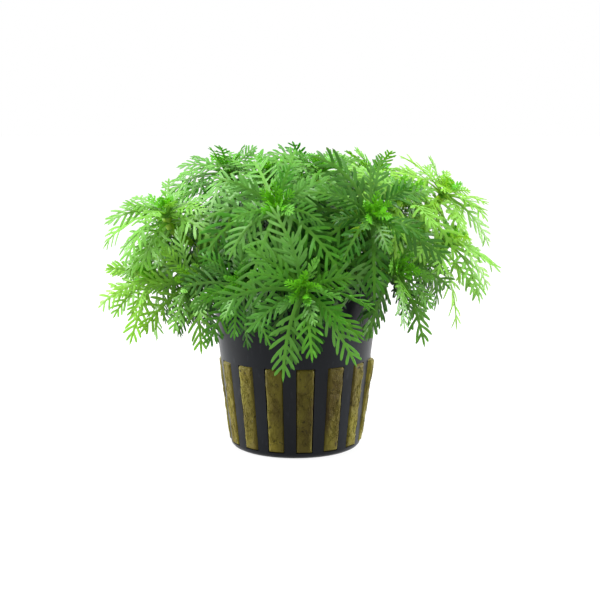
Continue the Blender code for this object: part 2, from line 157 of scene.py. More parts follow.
# root: turn about the pot's axis and distance from it; crown: place of the rosette's middle;
# lean: which way and how far the shoot's tip leans from upright; leaf: length of the lower leaves;
# spin: turn of the first leaf; lower_leaves: (height up the stem, turn about it, length)
Shoot = namedtuple("Shoot", "root crown lean leaf spin lower_leaves")
SHOOTS = [
    Shoot((-100, 12), (-5, -25, 72), (-95, 46), 26, 4, [(0.60, -70, 24), (0.45, -110, 22)]),
    Shoot((-84, 18), (2, -36, 51), (-88, 72), 24, 64, [(0.75, -60, 24)]),
    Shoot((-122, 18), (-15, -29, 51), (-112, 68), 18, 60, [(0.60, -140, 20)]),
    Shoot((-150, 17), (-29, -17, 51), (-104, 62), 20, 40, [(0.80, -135, 24)]),
    Shoot((-172, 18), (-41, -8, 51), (-120, 50), 20, 22, [(0.80, -170, 20), (0.60, -140, 22)]),
    Shoot((176, 11), (-37, -7, 69.5), (-140, 6), 23, 40, [(0.85, 180, 22)]),
    Shoot((150, 8), (-20, 6, 80.5), (-170, 4), 23, 22, [(0.70, 180, 24)]),
    Shoot((-150, 4), (-8, -1, 79.5), (-120, 8), 23, 0, [(0.70, -120, 24)]),
    Shoot((-10, 4), (7, 5, 81), (-60, 4), 22, 0, [(0.75, -90, 24)]),
    Shoot((46, 12), (24, 18, 78.5), (42, 16), 22, 0, [(0.60, 60, 24)]),
    Shoot((-28, 10), (30, -9, 74), (-45, 26), 24, 36, [(0.70, -60, 24)]),
    Shoot((12, 15), (44, 6, 74.5), (-5, 32), 21, 20, [(0.85, -15, 20)]),
    Shoot((-60, 11), (21, -25, 70), (-72, 50), 24, 6, [(0.55, -80, 24)]),
    Shoot((-10, 19), (44, -4, 61), (-15, 30), 22, 54, [(0.90, 0, 25), (0.75, -45, 23)]),
    Shoot((-42, 18), (28, -22, 55), (-56, 66), 22, 36, [(0.70, -50, 24)]),
    Shoot((148, 16), (-36, 22, 63), (146, 50), 23, 0, [(0.60, 140, 24)]),
    Shoot((112, 17), (-14, 37, 60), (110, 58), 24, 14, [(0.65, 100, 24)]),
    Shoot((62, 17), (19, 36, 58), (66, 60), 24, 30, [(0.65, 60, 24)]),
    Shoot((90, 9), (1, 21, 76), (90, 24), 24, 18, [(0.70, 90, 24)]),
]
LOWER_PITCH = 8.0
UPPER_PITCH = 24.0
UPPER_LENGTH = 0.78
LOWER_LOBE_PAIRS = 4
UPPER_LOBE_PAIRS = 3
UPPER_LEAVES = 3
DROOP = (1.3, 3.0)
SIDE_BEND = 0.7
ARCH = 0.8
ROLL = 18.0
FRONT_ROLL = 34.0
ROLL_SEED = 4

# Changes tried on a leaf until it crosses nothing, and how much of each counts as one step away
TURNS, TURN_STEP = (0, -7, 7, -14, 14), 7
LIFTS, LIFT_STEP = (0, 9, -9, 18, -18, 28), 9
ROLLS, ROLL_STEP = (0, 14, -14, 28, -28), 20
SIZES, SIZE_STEP = (1.0, 0.9, 0.8), 0.08

# Dressed leaves: their lobes, teeth and stalks
LOBE_PAIRS = 6
YOUNG_LOBE_PAIRS = 4
LOBE_WIDTH = 0.98
LOBE_WIDTH_TIP = 0.80
# Rows of points along a lobe: (share of its length, share of its width)
LOBE_ROWS = [(0.16, 0.88), (0.42, 1.0), (0.68, 0.98), (0.90, 0.70), (1.0, 0.0)]
LOBE_LENGTHEN = 1.06
LOBE_SHORTEN = (0.86, 1.0)
LOBE_CROWDING = 0.33
LOBE_TAPER = 0.4
LOBE_CURVE = 16.0
LOBE_TURN_SPREAD = 9.0
LOBE_TILT_SPREAD = 18.0
LOBE_THICKNESS = 0.38
EDGE_THICKNESS = 0.10
# Six points round a lobe or the midrib: shares of its half width, its half edge and its thickness
SECTION = [(-1, 1, 0), (0, 0, 0.3), (1, 1, 0), (1, -1, 0), (0, 0, -0.7), (-1, -1, 0)]
LEFT_EDGE, RIGHT_EDGE = 5, 2
MIDRIB_HALF_WIDTH = 0.50
MIDRIB_TIP_HALF_WIDTH = 0.34
MIDRIB_THICKNESS = 0.55
MIDRIB_THINNING = 0.25
STALK_BASE_HALF_WIDTH = 1.0
STALK_HALF_WIDTH = 0.50
STALK_THICKNESS = 0.85
STALK_ROOT = 0.6
STALK_PLACES = (0.35, 0.8)
STALK_FADE = 6
BARE_TIP_PLACES = (0.25, 0.3)
TOOTH_SHARE = 0.72
TOOTH_LAST_PLACE = 0.75
# Row of the lobe that a tooth grows from, or None
TOOTH_ROWS = [None, 3, 2]
TOOTH_LENGTH = 0.50
TOOTH_ANGLE = 32.0
TOOTH_HALF_WIDTH = 0.36
TOOTH_TAPER = 0.8
TOOTH_TONE = 0.8
TOOTH_SHRINK = 1.1
USUAL_LENGTH = 24.0
SMALLEST_SCALE = 0.35
LEAF_SHARP_OVER = 60

# Leaves too many to be solids: (height along the tip, pitch, share of the length, how many, turn)
EXTRA_TIERS = [
    (-2.4, 2, 0.95, 5, 54), (-4.6, -4, 0.88, 6, 36), (0.2, 26, 0.70, 6, 30),
    (0.5, 38, 0.50, 5, 5), (-7.0, -4, 0.82, 5, 0), (-10.0, 0, 0.78, 5, 20),
    (-13.5, 4, 0.76, 5, 50), (-17.5, 8, 0.76, 5, 10), (-22.0, 10, 0.76, 5, 35),
]
EXTRA_TURN_SPREAD = 8
EXTRA_LENGTHS = (0.80, 1.0)
EXTRA_TRIES = 120
# Single leaves on the stems of some shoots: (height up the stem, turn, length)
STRAY_LEAVES = {
    15: [(0.72, -80, 24), (0.55, -100, 22), (0.85, -110, 20), (0.40, -70, 22)],
    13: [(0.40, -75, 26), (0.30, -50, 24)],
    2: [(0.85, -30, 20), (0.60, -20, 22)],
    6: [(0.70, -120, 20), (0.60, 150, 20), (0.50, -150, 22)],
    7: [(0.55, -140, 22), (0.45, -170, 22), (0.60, -110, 20)],
    16: [(0.80, -150, 22), (0.70, 170, 22), (0.60, -170, 22)],
    4: [(0.60, -160, 22), (0.70, -110, 20)],
}
# How far down its shoot a leaf turns from grown to oldest and darkest, in millimetres: real ageing and
# painted shade under the crown
AGEING_AND_SHADE_FROM, AGEING_AND_SHADE_OVER = 3.0, 7.0
# Leaves also get painted shade, a darker colour, towards the middle of the plant's dome
DOME_MIDDLE = (0, 0, 42)
DOME_REACH = (56, 46, 46)
INNER_SHADE, INNER_SHADE_UNDER, INNER_SHADE_OVER = 1.3, 0.84, 0.30
# Shoots that stand in more light, coloured paler as painted light, from 0 to 1
LIT_PALENESS = {4: 0.6, 5: 0.75, 6: 0.4, 10: 0.4, 11: 0.75, 12: 0.8, 14: 0.75, 15: 0.3}
OWN_PALENESS = 0.25
# The most of a leaf's colour that a painted whitish sheen covers, and how rarely it covers as much
PAINTED_SHEEN = 0.95
SHEEN_RARITY = 1.5
WHORL_AGES = (0.7, 1.0)
EXTRA_AGES = LOWER_AGES = (0.8, 1.0)
# Shoots that stand in the others' shade, given painted shade: a darker colour added to their leaves as age
SHADED = {1: 0.25, 2: 0.1, 3: 0.2, 9: 0.35, 13: 0.6, 15: 0.2}
# The young leaves in a shoot's heart, in tiers as above
HEART_TIERS = [(0.8, 54, 0.30, 5, 12), (1.0, 68, 0.21, 4, 50), (1.3, 80, 0.14, 3, 20)]
HEART_RADIUS = 0.7
HEART_AGE = 0.6
HEART_LENGTHS = (0.85, 1.1)
HEART_TURN_SPREAD, HEART_PITCH_SPREAD, HEART_ROLL_SPREAD = 10, 6, 8
LOOKS_SEED = 11

# Dressed stems and crowns
STEM_RINGS = 16
STEM_DRESSED_SIDES = 12
STEM_WAIST = 0.92
STEM_NODES = 3.4
STEM_NODE_SWELL = 0.12
STEM_NODE_SHARPNESS = 6
STEM_TIP_SWELL = 0.20
STEM_TIP_SHARPNESS = 4
STEM_RIBBING = 0.03
STEM_ROOT_DEPTH = 1.5
# Heights along a shoot's swollen tip and its radius there
CROWN_PROFILE = [(-1.7, 1.2), (-1.0, 1.5), (-0.2, 1.7), (0.6, 1.55), (1.2, 1.15), (1.8, 0.7), (2.2, 0.25)]
CROWN_TONE = (0, 0, 0.5, 0.2)

# Dressed pot and plug
PLAIN_TONE = (0, 0, 0, 1)
RIB_COLUMNS = 4
SLIT_COLUMNS = 6
DRAIN_ROWS = 2
DRAIN_COLUMNS = 3
FOOT_ROWS = 4
WALL_ROWS = 6
LIP_ROUNDING = 0.3
LIP_SLANT = 0.1
EDGE_BEVEL = 0.22
SHARP_OVER = 35.0
WOOL_RIB_COLUMNS = 3
WOOL_SLIT_COLUMNS = 14
WOOL_ROW = 0.5
WOOL_TOP_ROWS = 14
WOOL_TOP_ROUGHNESS = 1.5
ALL_SMOOTH = 180
WOOL_LUMP = 0.26
WOOL_LUMP_SIZE = 2.6
WOOL_GRAIN = 0.07
WOOL_GRAIN_SIZE = 0.7
FIBRES = 1500
FIBRE_RADIUS = 0.045
FIBRE_LENGTH = (1.4, 4.2)
FIBRE_JOINTS = 4
FIBRE_SPREAD = 0.9
FIBRE_MARGINS = (1.5, 1.0)
FIBRE_LIMITS = (1.0, 0.6)
FIBRE_HEADING_SPREAD = 0.7
FIBRE_CURL = 0.5
FIBRE_LIFT = (-0.02, 0.10)
FIBRE_ARCH = 0.05
FIBRE_SEED = 23
WOOL_EDGE = 0.06
WOOL_SLIT_HALF = (RIB_STEP - RIB_SPREAD) / 2 - WOOL_EDGE
WOOL_PILLOW = 0.4
WOOL_SQUARENESS = 10
WOOL_PROUD = 0.1

# Colours, as linear red, green, blue and opacity
LEAF_GREEN = (0.033, 0.176, 0.005, 1)
LEAF_BLUE_GREEN = (0.050, 0.210, 0.022, 1)
# Paler green painted as light on shoots that stand in more light
LEAF_LIT_PALE_GREEN = (0.182, 0.388, 0.036, 1)
# Whitish green painted as a sheen
LEAF_SHEEN_GREEN = (0.132, 0.305, 0.068, 1)
# Dark green of old leaves, also laid on as painted shade deep in the plant
LEAF_OLD_SHADED_GREEN = (0.007, 0.058, 0.0015, 1)
RIB_GREEN = (0.085, 0.210, 0.020, 1)
HEART_GREEN = (0.075, 0.310, 0.010, 1)
TIP_BROWN = (0.150, 0.160, 0.020, 1)
LEAF_THROUGH = (0.190, 0.520, 0.028, 1)
# Brighter through colour painted as light on the same shoots
LIT_PALE_THROUGH = (0.670, 0.930, 0.170, 1)
# Through colour of old leaves, also darker as painted shade
OLD_SHADED_THROUGH = (0.040, 0.220, 0.005, 1)
HEART_THROUGH = (0.420, 0.820, 0.045, 1)
LEAF_SHINE_THROUGH = 0.38
RIB_SHARE = 0.45
BROWN_TIP_SHARE = 0.6
STEM_FOOT_GREEN = (0.110, 0.250, 0.020, 1)
STEM_TOP_GREEN = (0.300, 0.520, 0.020, 1)
STEM_NODE_GREEN = (0.280, 0.500, 0.050, 1)
STEM_SHINE_THROUGH = 0.30
STEM_NODE_SHARE = 0.5
STEM_STREAK_SHARE = 0.35
PLASTIC_DARK = (0.0030, 0.0038, 0.0054, 1)
PLASTIC_PALE = (0.0050, 0.0064, 0.0090, 1)
PLASTIC_SCUFF = (0.030, 0.032, 0.040, 1)
SCUFF_SHARE = 0.22
PLASTIC_SMOOTHEST, PLASTIC_ROUGHENING = 0.26, 0.14
WOOL_OLIVE = (0.112, 0.092, 0.009, 1)
WOOL_BROWN = (0.040, 0.027, 0.005, 1)
WOOL_YELLOW = (0.140, 0.126, 0.014, 1)
WOOL_DARK = (0.010, 0.006, 0.003, 1)
WOOL_PALE = (0.210, 0.190, 0.040, 1)
SPECK_SHARE = 0.85
PALE_FIBRE_SHARE = 0.35
# The wool is browner round one place, given in metres, and in blotches everywhere
BROWN_PATCH_MIDDLE = (0.006, -0.022, 0.016)
BROWN_PATCH_REACH = 0.019
BROWN_PATCH_CORE = 0.3
BROWN_PATCH_SHARE = 0.5
BROWN_BLOTCH_SHARE = 0.5

# Studio, in metres
CAMERA_PLACE = (0.0013, -0.380, 0.097)
CAMERA_PITCH = 0.14
CAMERA_LENS = 78
CAMERA_SENSOR = 36
WHITE = (1, 1, 1, 1)
SKY_FRONT = 0.28
SKY_BACK = 2.0
SKY_SEEN = 1.0
FLOOR_WHITE = 0.12
FLOOR_GLOW = 0.90
FLOOR_REACH = 6.0
LAMP_TARGET = Vector((0, 0, 0.05))
LAMP_SIZE = 0.40
# Place and watts of each lamp
LAMPS = {
    "key_lamp": ((-0.20, -0.10, 0.80), 19.0),
    "left_lamp": ((-0.75, 0.12, 0.12), 15.0),
    "right_lamp": ((0.75, 0.12, 0.12), 15.0),
}


class Solid:
    """The points and faces of one closed body."""

    def __init__(self):
        self.points = []
        self.faces = []

    def add(self, points):
        """Keep some points and return their numbers."""
        first = len(self.points)
        self.points.extend(Vector(point) for point in points)
        return list(range(first, len(self.points)))

    def quad(self, a, b, c, d):
        self.faces.extend([(a, b, c), (a, c, d)])


def band(low, high):
    """The four-cornered faces between two rings of points."""
    for i, corner in enumerate(low):
        after = (i + 1) % len(low)
        yield corner, low[after], high[after], high[i]


def blend(first, last, share):
    """The value at a share of the way from one to another."""
    return first + (last - first) * share


def either_way(rand, most):
    """A random number up to a most, positive or negative."""
    return rand.uniform(-most, most)


def polar(radius, turn, height):
    """A point at a radius, a turn in degrees about the pot's axis, and a height."""
    angle = math.radians(turn)
    return Vector((radius * math.cos(angle), radius * math.sin(angle), height))


def outward(point):
    """The level direction from the pot's axis to a point."""
    return Vector((point.x, point.y, 0)).normalized()


def turned(first, second, angle):
    """The direction at an angle, in radians, from one direction towards another square to it."""
    return first * math.cos(angle) + second * math.sin(angle)


def wall_radius(height):
    """Outer radius of the pot's wall at a height."""
    return POT_BASE_RADIUS + (POT_TOP_RADIUS - POT_BASE_RADIUS) * height / POT_HEIGHT


def rib_turns():
    """The two edges of every rib, in order round the pot."""
    for rib in range(RIBS):
        middle = RIB_TURN + rib * RIB_STEP
        yield middle - RIB_SPREAD / 2
        yield middle + RIB_SPREAD / 2


def shoot_axes(shoot):
    """The direction of a shoot's tip and two square to it and to each other, the first one level."""
    turn, lean = shoot.lean
    axis = polar(math.sin(math.radians(lean)), turn, math.cos(math.radians(lean)))
    return axis, *across(axis)


def across(axis):
    """Two directions square to an axis and to each other, the first one level."""
    first = UP.cross(axis).normalized() if UP.cross(axis).length > 0.01 else Vector((1, 0, 0))
    return first, axis.cross(first)


def stem_curve(shoot, lengths):
    """Points up the stem, from upright in the wool to the underside of the crown."""
    axis = shoot_axes(shoot)[0]
    start = polar(shoot.root[1], shoot.root[0], WOOL_TOP + GAP)
    end = Vector(shoot.crown) - axis * (CROWN_HALF_HEIGHT + GAP)
    reach = (end - start).length
    rise = UP * reach * (STEM_RISE + STEM_RISE_PER_DEGREE * shoot.lean[1])
    finish = axis * reach * STEM_FINISH
    points = []
    for i in range(lengths + 1):
        t = i / lengths
        points.append(start * (2 * t**3 - 3 * t**2 + 1) + rise * (t**3 - 2 * t**2 + t)
                      + end * (3 * t**2 - 2 * t**3) + finish * (t**3 - t**2))
    return points


def stem_frames(shoot, lengths=STEM_RINGS, depth=STEM_ROOT_DEPTH):
    """Points up a stem from a depth in the wool: (point, two ways across that turn little, way along)."""
    points = stem_curve(shoot, lengths)
    points[0] = points[0] - UP * depth
    between = [(above - below).normalized() for below, above in zip(points, points[2:])]
    first, last_way = Vector((1, 0, 0)), UP
    frames = []
    for point, way in zip(points, [UP] + between + [shoot_axes(shoot)[0]]):
        first = first.copy()
        first.rotate(last_way.rotation_difference(way))
        last_way = way
        frames.append((point, first, way.cross(first), way))
    return frames


def make_stem(shoot):
    """The plain stem of the solids."""
    stem = Solid()
    rings = []
    for point, first, second, _ in stem_frames(shoot, STEM_LENGTHS, 0):
        angles = [2 * math.pi * side / STEM_SIDES for side in range(STEM_SIDES)]
        rings.append(stem.add(point + turned(first, second, angle) * STEM_RADIUS for angle in angles))
    for low, high in zip(rings, rings[1:]):
        for face in band(low, high):
            stem.quad(*face)
    stem.faces.extend([tuple(reversed(rings[0])), tuple(rings[-1])])
    return stem


# start, along and side place the leaf; ridge puts its midrib above the blade instead of below
Leaf = namedtuple("Leaf", "start along side length ridge pairs droop bend")


def leaf_walk(leaf):
    """Frames out along a leaf as it arches and droops: (point, along, side, up) at each step."""
    step = leaf.length / LEAF_STEPS
    point, along, side = leaf.start.copy(), leaf.along.copy(), leaf.side.copy()
    frames = [(point.copy(), along.copy(), side.copy(), along.cross(side))]
    for _ in range(LEAF_STEPS):
        level = UP.cross(along)
        droop = Quaternion(level.normalized(), math.radians(leaf.droop * step) * level.length)
        sideways = Quaternion(along.cross(side), math.radians(leaf.bend * step))
        for way in (along, side):
            way.rotate(droop)
            way.rotate(sideways)
        along.rotate(Quaternion(side, math.radians(ARCH * step)))
        radius = math.hypot(point.x, point.y)
        if point.z < POT_HEIGHT + RIM_CLEARANCE and radius < wall_radius(point.z) + POT_CLEARANCE:
            along += Vector((point.x, point.y, 0)) / radius * POT_PUSH
            along.normalize()
            side = (side - along * side.dot(along)).normalized()
        point += along * step
        frames.append((point.copy(), along.copy(), side.copy(), along.cross(side)))
    return frames


def lobe_angle(place):
    """Angle between the midrib and the lobe at a place along the lobed part, from 0 to 1."""
    return blend(LOBE_ANGLE_BASE, LOBE_ANGLE_TIP, place)


def lobe_reach(length, place):
    """How long the lobe at a place is, on a leaf of a length."""
    return length * LOBE_REACH * (1 - ((place - LOBE_PEAK) / LOBE_FADE) ** 2)


def lobe_tip(frames, length, place, hand, swell):
    """Tip of the plain lobe at a place, on one hand."""
    point, along, side, up = frames[int(round(PETIOLE_STEPS + place * LOBED_STEPS))]
    angle = math.radians(lobe_angle(place))
    reach = lobe_reach(length, place) + swell
    forward, sideways = reach * math.cos(angle), hand * reach * math.sin(angle)
    return point + along * forward + side * sideways - up * LOBE_SAG * reach


def blade_ring(frame, width, ridge, swell):
    """Three points round a plain leaf, anticlockwise as seen from its tip."""
    point, _, side, up = frame
    left, right = point - side * width, point + side * width
    if ridge:
        return [left - up * swell, right - up * swell, point + up * (BLADE_THICKNESS + swell)]
    return [left + up * swell, point - up * (BLADE_THICKNESS + swell), right + up * swell]


def grow_leaf(solid, leaf, base=None, swell=0.0, first_step=2):
    """Add a plain comb leaf to a solid, from a base ring or, with none, open from its first step."""
    frames = leaf_walk(leaf)
    if base is None:
        base = solid.add(blade_ring(frames[first_step], PETIOLE_HALF_WIDTH + swell, leaf.ridge, swell))
    rings = [base]
    for number in range(leaf.pairs + 1):
        place = number / leaf.pairs
        width = blend(BLADE_HALF_WIDTH, BLADE_TIP_HALF_WIDTH, place) if number else PETIOLE_HALF_WIDTH
        frame = frames[int(round(PETIOLE_STEPS + LOBED_STEPS * place))]
        rings.append(solid.add(blade_ring(frame, width + swell, leaf.ridge, swell)))
    flat = (0, 1) if leaf.ridge else (2, 0)
    hands = {(1, 2): 1, (2, 0): -1} if leaf.ridge else {(0, 1): -1, (1, 2): 1}
    for number, (low, high) in enumerate(zip(rings, rings[1:])):
        for a, b in SIDES:
            corners = (low[a], low[b], high[b], high[a])
            if (a, b) == flat or number == 0:
                solid.quad(*corners)
                continue
            place = (number - 0.5) / leaf.pairs
            tip = solid.add([lobe_tip(frames, leaf.length, place, hands[(a, b)], swell)])[0]
            solid.faces.extend((*edge, tip) for edge in zip(corners, corners[1:] + corners[:1]))
    end = solid.add([frames[-1][0] + frames[-1][1] * swell])[0]
    solid.faces.extend((rings[-1][a], rings[-1][b], end) for a, b in SIDES)


class Crowd:
    """Everything placed so far, with the question whether a new leaf would cross it."""

    def __init__(self):
        self.points = []
        self.faces = []
        self.tree = None
        self.crowns = {}

    def add(self, solid):
        first = len(self.points)
        self.points.extend(solid.points)
        self.faces.extend(tuple(first + i for i in face) for face in solid.faces)
        self.tree = BVHTree.FromPolygons(self.points, self.faces)

    def crosses(self, solid, own_crown=None):
        tree = BVHTree.FromPolygons(solid.points, solid.faces)
        if tree.overlap(self.tree):
            return True
        return any(tree.overlap(crown) for name, crown in self.crowns.items() if name != own_crown)


def nudges():
    """Changes of turn, lift, roll and size to try, the smallest first."""
    def steps_away(nudge):
        turn, lift, roll, size = nudge
        return abs(turn) / TURN_STEP + abs(lift) / LIFT_STEP + abs(roll) / ROLL_STEP + (1 - size) / SIZE_STEP

    return sorted(product(TURNS, LIFTS, ROLLS, SIZES), key=steps_away)


NUDGES = nudges()


def aimed_leaf(start, out, axis, pitch, roll, length, ridge, pairs, habit):
    """A leaf that leaves an axis outwards, pitched up along it and rolled about its own midrib."""
    along = turned(out, axis, math.radians(pitch))
    side = axis.cross(out)
    side.rotate(Quaternion(along, math.radians(roll + FRONT_ROLL * out.x)))
    return Leaf(start, along, side, length, ridge, pairs, *habit)


def leaf_habit(rand):
    """How much a leaf droops and bends sideways, in degrees a millimetre."""
    return rand.uniform(*DROOP), either_way(rand, SIDE_BEND)


def clear_leaf(aim, crowd, own_crown=None, first_step=2, tries=None):
    """The leaf nearest to the one wished for that crosses nothing, or None; aim makes one from a nudge."""
    for nudge in NUDGES[:tries]:
        leaf = aim(*nudge)
        trial = Solid()
        grow_leaf(trial, leaf, None, GAP, first_step)
        if not crowd.crosses(trial, own_crown):
            return leaf
    return None


def crown_ring(shoot, radius, height, offset):
    """Points round a shoot's tip."""
    axis, first, second = shoot_axes(shoot)
    points = []
    for side in range(CROWN_SIDES):
        angle = math.radians(shoot.spin + offset + 360.0 * side / CROWN_SIDES)
        points.append(Vector(shoot.crown) + axis * height + turned(first, second, angle) * radius)
    return points


def make_crown(shoot, swell=0.0):
    """The shoot's tip, a five-sided drum of triangles, and the leaf bases on its side: (solid, bases)."""
    crown = Solid()
    radius, half = CROWN_RADIUS + swell, CROWN_HALF_HEIGHT + swell / 2
    low = crown.add(crown_ring(shoot, radius, -half, 0))
    high = crown.add(crown_ring(shoot, radius, half, 180.0 / CROWN_SIDES))
    crown.faces.extend([tuple(reversed(low)), tuple(high)])
    bases = []
    for side in range(CROWN_SIDES):
        after = (side + 1) % CROWN_SIDES
        bases.append(("lower", side + 0.5, (low[side], low[after], high[side])))
        bases.append(("upper", side + 1.0, (high[side], low[after], high[after])))
    return crown, sorted(bases)


def crown_guard(shoot):
    """The space round a shoot's tip that belongs to its own leaf stalks."""
    guard, bases = make_crown(shoot, CROWN_GUARD)
    guard.faces.extend(base for _, _, base in bases)
    return BVHTree.FromPolygons(guard.points, guard.faces)


def leaf_solid(leaf):
    """The plain solid that stands for a leaf."""
    solid = Solid()
    grow_leaf(solid, leaf)
    return solid


def rosette_leaves(number, shoot, crowd, rolls):
    """The whorl of leaves on a shoot's crown, the lower tier first."""
    crown, bases = make_crown(shoot)
    axis, first, second = shoot_axes(shoot)
    leaves = []
    upper_leaves = 0
    for tier, side, base in bases:
        lower = tier == "lower"
        turn = shoot.spin + side * 360.0 / CROWN_SIDES
        start = sum((crown.points[i] for i in base), Vector()) / 3
        pitch = LOWER_PITCH if lower else UPPER_PITCH
        length = shoot.leaf * (1.0 if lower else UPPER_LENGTH)
        pairs = LOWER_LOBE_PAIRS if lower else UPPER_LOBE_PAIRS
        own_roll = either_way(rolls, ROLL)
        habit = leaf_habit(rolls)

        def aim(nudge, lift, roll, size):
            out = turned(first, second, math.radians(turn + nudge))
            return aimed_leaf(start, out, axis, pitch + lift, own_roll + roll, length * size, lower, pairs,
                              habit)

        leaf = clear_leaf(aim, crowd, number) if lower or upper_leaves < UPPER_LEAVES else None
        if leaf is None:
            continue
        upper_leaves += not lower
        leaves.append(leaf)
        crowd.add(leaf_solid(leaf))
    return leaves


def lower_leaf(shoot, height, turn, length, crowd, rolls):
    """A single leaf that stands off the stem below the crown, or None where there is no room."""
    points = stem_curve(shoot, STEM_LENGTHS)
    place = height * STEM_LENGTHS
    number = min(int(place), STEM_LENGTHS - 1)
    on_stem = points[number].lerp(points[number + 1], place - number)
    stem_way = (points[number + 1] - points[number]).normalized()
    own_roll = either_way(rolls, ROLL)
    habit = leaf_habit(rolls)

    def aim(nudge, lift, roll, size):
        out = polar(1, turn + nudge, 0)
        out = (out - stem_way * out.dot(stem_way)).normalized()
        start = on_stem + out * (STEM_RADIUS + GAP)
        return aimed_leaf(start, out, stem_way, LOWER_PITCH + lift, own_roll + roll, length * size, True,
                          UPPER_LOBE_PAIRS, habit)

    leaf = clear_leaf(aim, crowd, first_step=0)
    if leaf is not None:
        solid = Solid()
        base = solid.add(blade_ring(leaf_walk(leaf)[0], LOWER_STALK_BASE, True, 0))
        grow_leaf(solid, leaf, base)
        solid.faces.append(tuple(reversed(base)))
        crowd.add(solid)
    return leaf


def pot_guard():
    """A plain cone just outside the pot, which no leaf may cross."""
    guard = Solid()
    margin = LIP_REACH + GAP
    low = guard.add(polar(POT_BASE_RADIUS + margin, turn, -1) for turn in rib_turns())
    high = guard.add(polar(POT_TOP_RADIUS + margin, turn, POT_HEIGHT + GAP) for turn in rib_turns())
    for face in band(low, high):
        guard.quad(*face)
    guard.faces.append(tuple(high))
    return guard


def put(name, data):
    """A new object in the scene that holds a mesh, a lamp or a camera."""
    thing = bpy.data.objects.new(name, data)
    bpy.context.scene.collection.objects.link(thing)
    return thing


class Shape:
    """The points and faces of a visible piece, with a tone for each point: four numbers for its finish."""

    def __init__(self):
        self.points = []
        self.faces = []
        self.tones = []

    def add(self, points, tones):
        """Keep some points, with a tone for each or one for all, and return their numbers."""
        first = sum(len(block) for block in self.points)
        self.points.append(np.asarray(points, float))
        self.tones.append(np.broadcast_to(np.asarray(tones, np.float32), (len(points), 4)))
        return range(first, first + len(points))

    def tube(self, rings):
        """Join rings of points one after the other and close both ends."""
        for low, high in zip(rings, rings[1:]):
            self.faces.extend(band(low, high))
        self.faces.extend([tuple(reversed(rings[0])), tuple(rings[-1])])

    def make(self, name, material, slot, *nodes, sharp_over=LEAF_SHARP_OVER):
        """The piece in metres, smooth but for sharp edges, in place of the solids it stands for."""
        mesh = bpy.data.meshes.new(name)
        points = np.concatenate(self.points) * METRES_PER_MM
        mesh.from_pydata(points.tolist(), [], self.faces)
        tones = mesh.color_attributes.new("tone", "FLOAT_COLOR", "POINT")
        tones.data.foreach_set("color", np.concatenate(self.tones).ravel())
        mesh.materials.append(material)
        mesh.shade_smooth()
        mesh.set_sharp_from_angle(angle=math.radians(sharp_over))
        piece = put(name, mesh)
        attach(piece, "root")
        if nodes:
            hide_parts(*nodes)
        return piece


class FlatLeaf:
    """A leaf laid out flat: along its midrib, across it and above it, before it is bent to its place."""

    def __init__(self):
        self.points = []
        self.tones = []
        self.faces = []

    def point(self, along, across, above, out=0.0):
        """Keep a point and return its number; out is 0 on the midrib and 1 at a lobe's tip."""
        self.points.append((along, across, above))
        self.tones.append(out)
        return len(self.points) - 1

    def section(self, middle, half, edge, thick, out=0.0):
        """Six points round a middle; half is the way to the right edge, along and across the leaf."""
        along, across, above = middle
        return [self.point(along + side * half[0], across + side * half[1],
                           above + rim * edge + rise * thick, out) for side, rim, rise in SECTION]

    def band(self, low, high, skip=(), flip=False):
        """Join two loops of points side by side, but for the sides in skip."""
        for i, face in enumerate(band(low, high)):
            if i not in skip:
                self.faces.append(face[::-1] if flip else face)

    def close(self, loop, tip, flip=False):
        """Draw a loop of points together in one tip."""
        for i, corner in enumerate(loop):
            face = (corner, loop[(i + 1) % len(loop)], tip)
            self.faces.append(face[::-1] if flip else face)

    def tooth(self, side, way, hand, reach, scale):
        """Draw one side of a lobe, given by its four points, out to a tooth; way is its angle in radians."""
        half, edge = TOOTH_HALF_WIDTH * scale, EDGE_THICKNESS * scale
        root = [sum(self.points[i][axis] for i in side) / 4 for axis in range(3)]
        forward = (math.cos(way), hand * math.sin(way))
        sideways = (-forward[1], forward[0])
        middle = [root[i] + forward[i] * reach / 2 for i in range(2)]
        ring = []
        for number in side:
            along, across, above = self.points[number]
            offset = (along - root[0]) * sideways[0] + (across - root[1]) * sideways[1]
            place = math.copysign(half * TOOTH_TAPER, offset)
            ring.append(self.point(middle[0] + sideways[0] * place, middle[1] + sideways[1] * place,
                                   math.copysign(edge, above - root[2]) + root[2], TOOTH_TONE))
        self.band(side, ring)
        tip = [root[i] + forward[i] * reach for i in range(2)]
        self.close(ring, self.point(*tip, root[2], 1.0))

    def lobe(self, foot, start, way, hand, reach, width, scale, tilt, tooth_row):
        """A narrow lobe from six points on the midrib's edge; way is its angle from it in radians."""
        left = hand < 0
        edge = EDGE_THICKNESS / 2 * scale
        last = foot
        along, across = start
        share_before = 0.0
        for row, (share, breadth) in enumerate(LOBE_ROWS, 1):
            angle = way - math.radians(LOBE_CURVE) * share
            step = (share - share_before) * reach
            share_before = share
            along += step * math.cos(angle)
            across += hand * step * math.sin(angle)
            above = tilt * share * reach - LOBE_SAG * reach * share ** 2
            if row == len(LOBE_ROWS):
                self.close(last, self.point(along, across, above, 1.0), left)
                break
            half = breadth * width / 2
            thick = LOBE_THICKNESS * scale * (1 - LOBE_TAPER * share)
            to_edge = (math.sin(angle) * half, -hand * math.cos(angle) * half)
            loop = self.section((along, across, above), to_edge, edge, thick, share)
            self.band(last, loop, (RIGHT_EDGE,) if row == tooth_row else (), left)
            if row == tooth_row:
                a, b = RIGHT_EDGE, RIGHT_EDGE + 1
                side = [loop[a], loop[b], last[b], last[a]] if left else [last[a], last[b], loop[b], loop[a]]
                own_reach = reach * TOOTH_LENGTH * (TOOTH_SHRINK - share)
                self.tooth(side, angle - math.radians(TOOTH_ANGLE), hand, own_reach, scale)
            last = loop


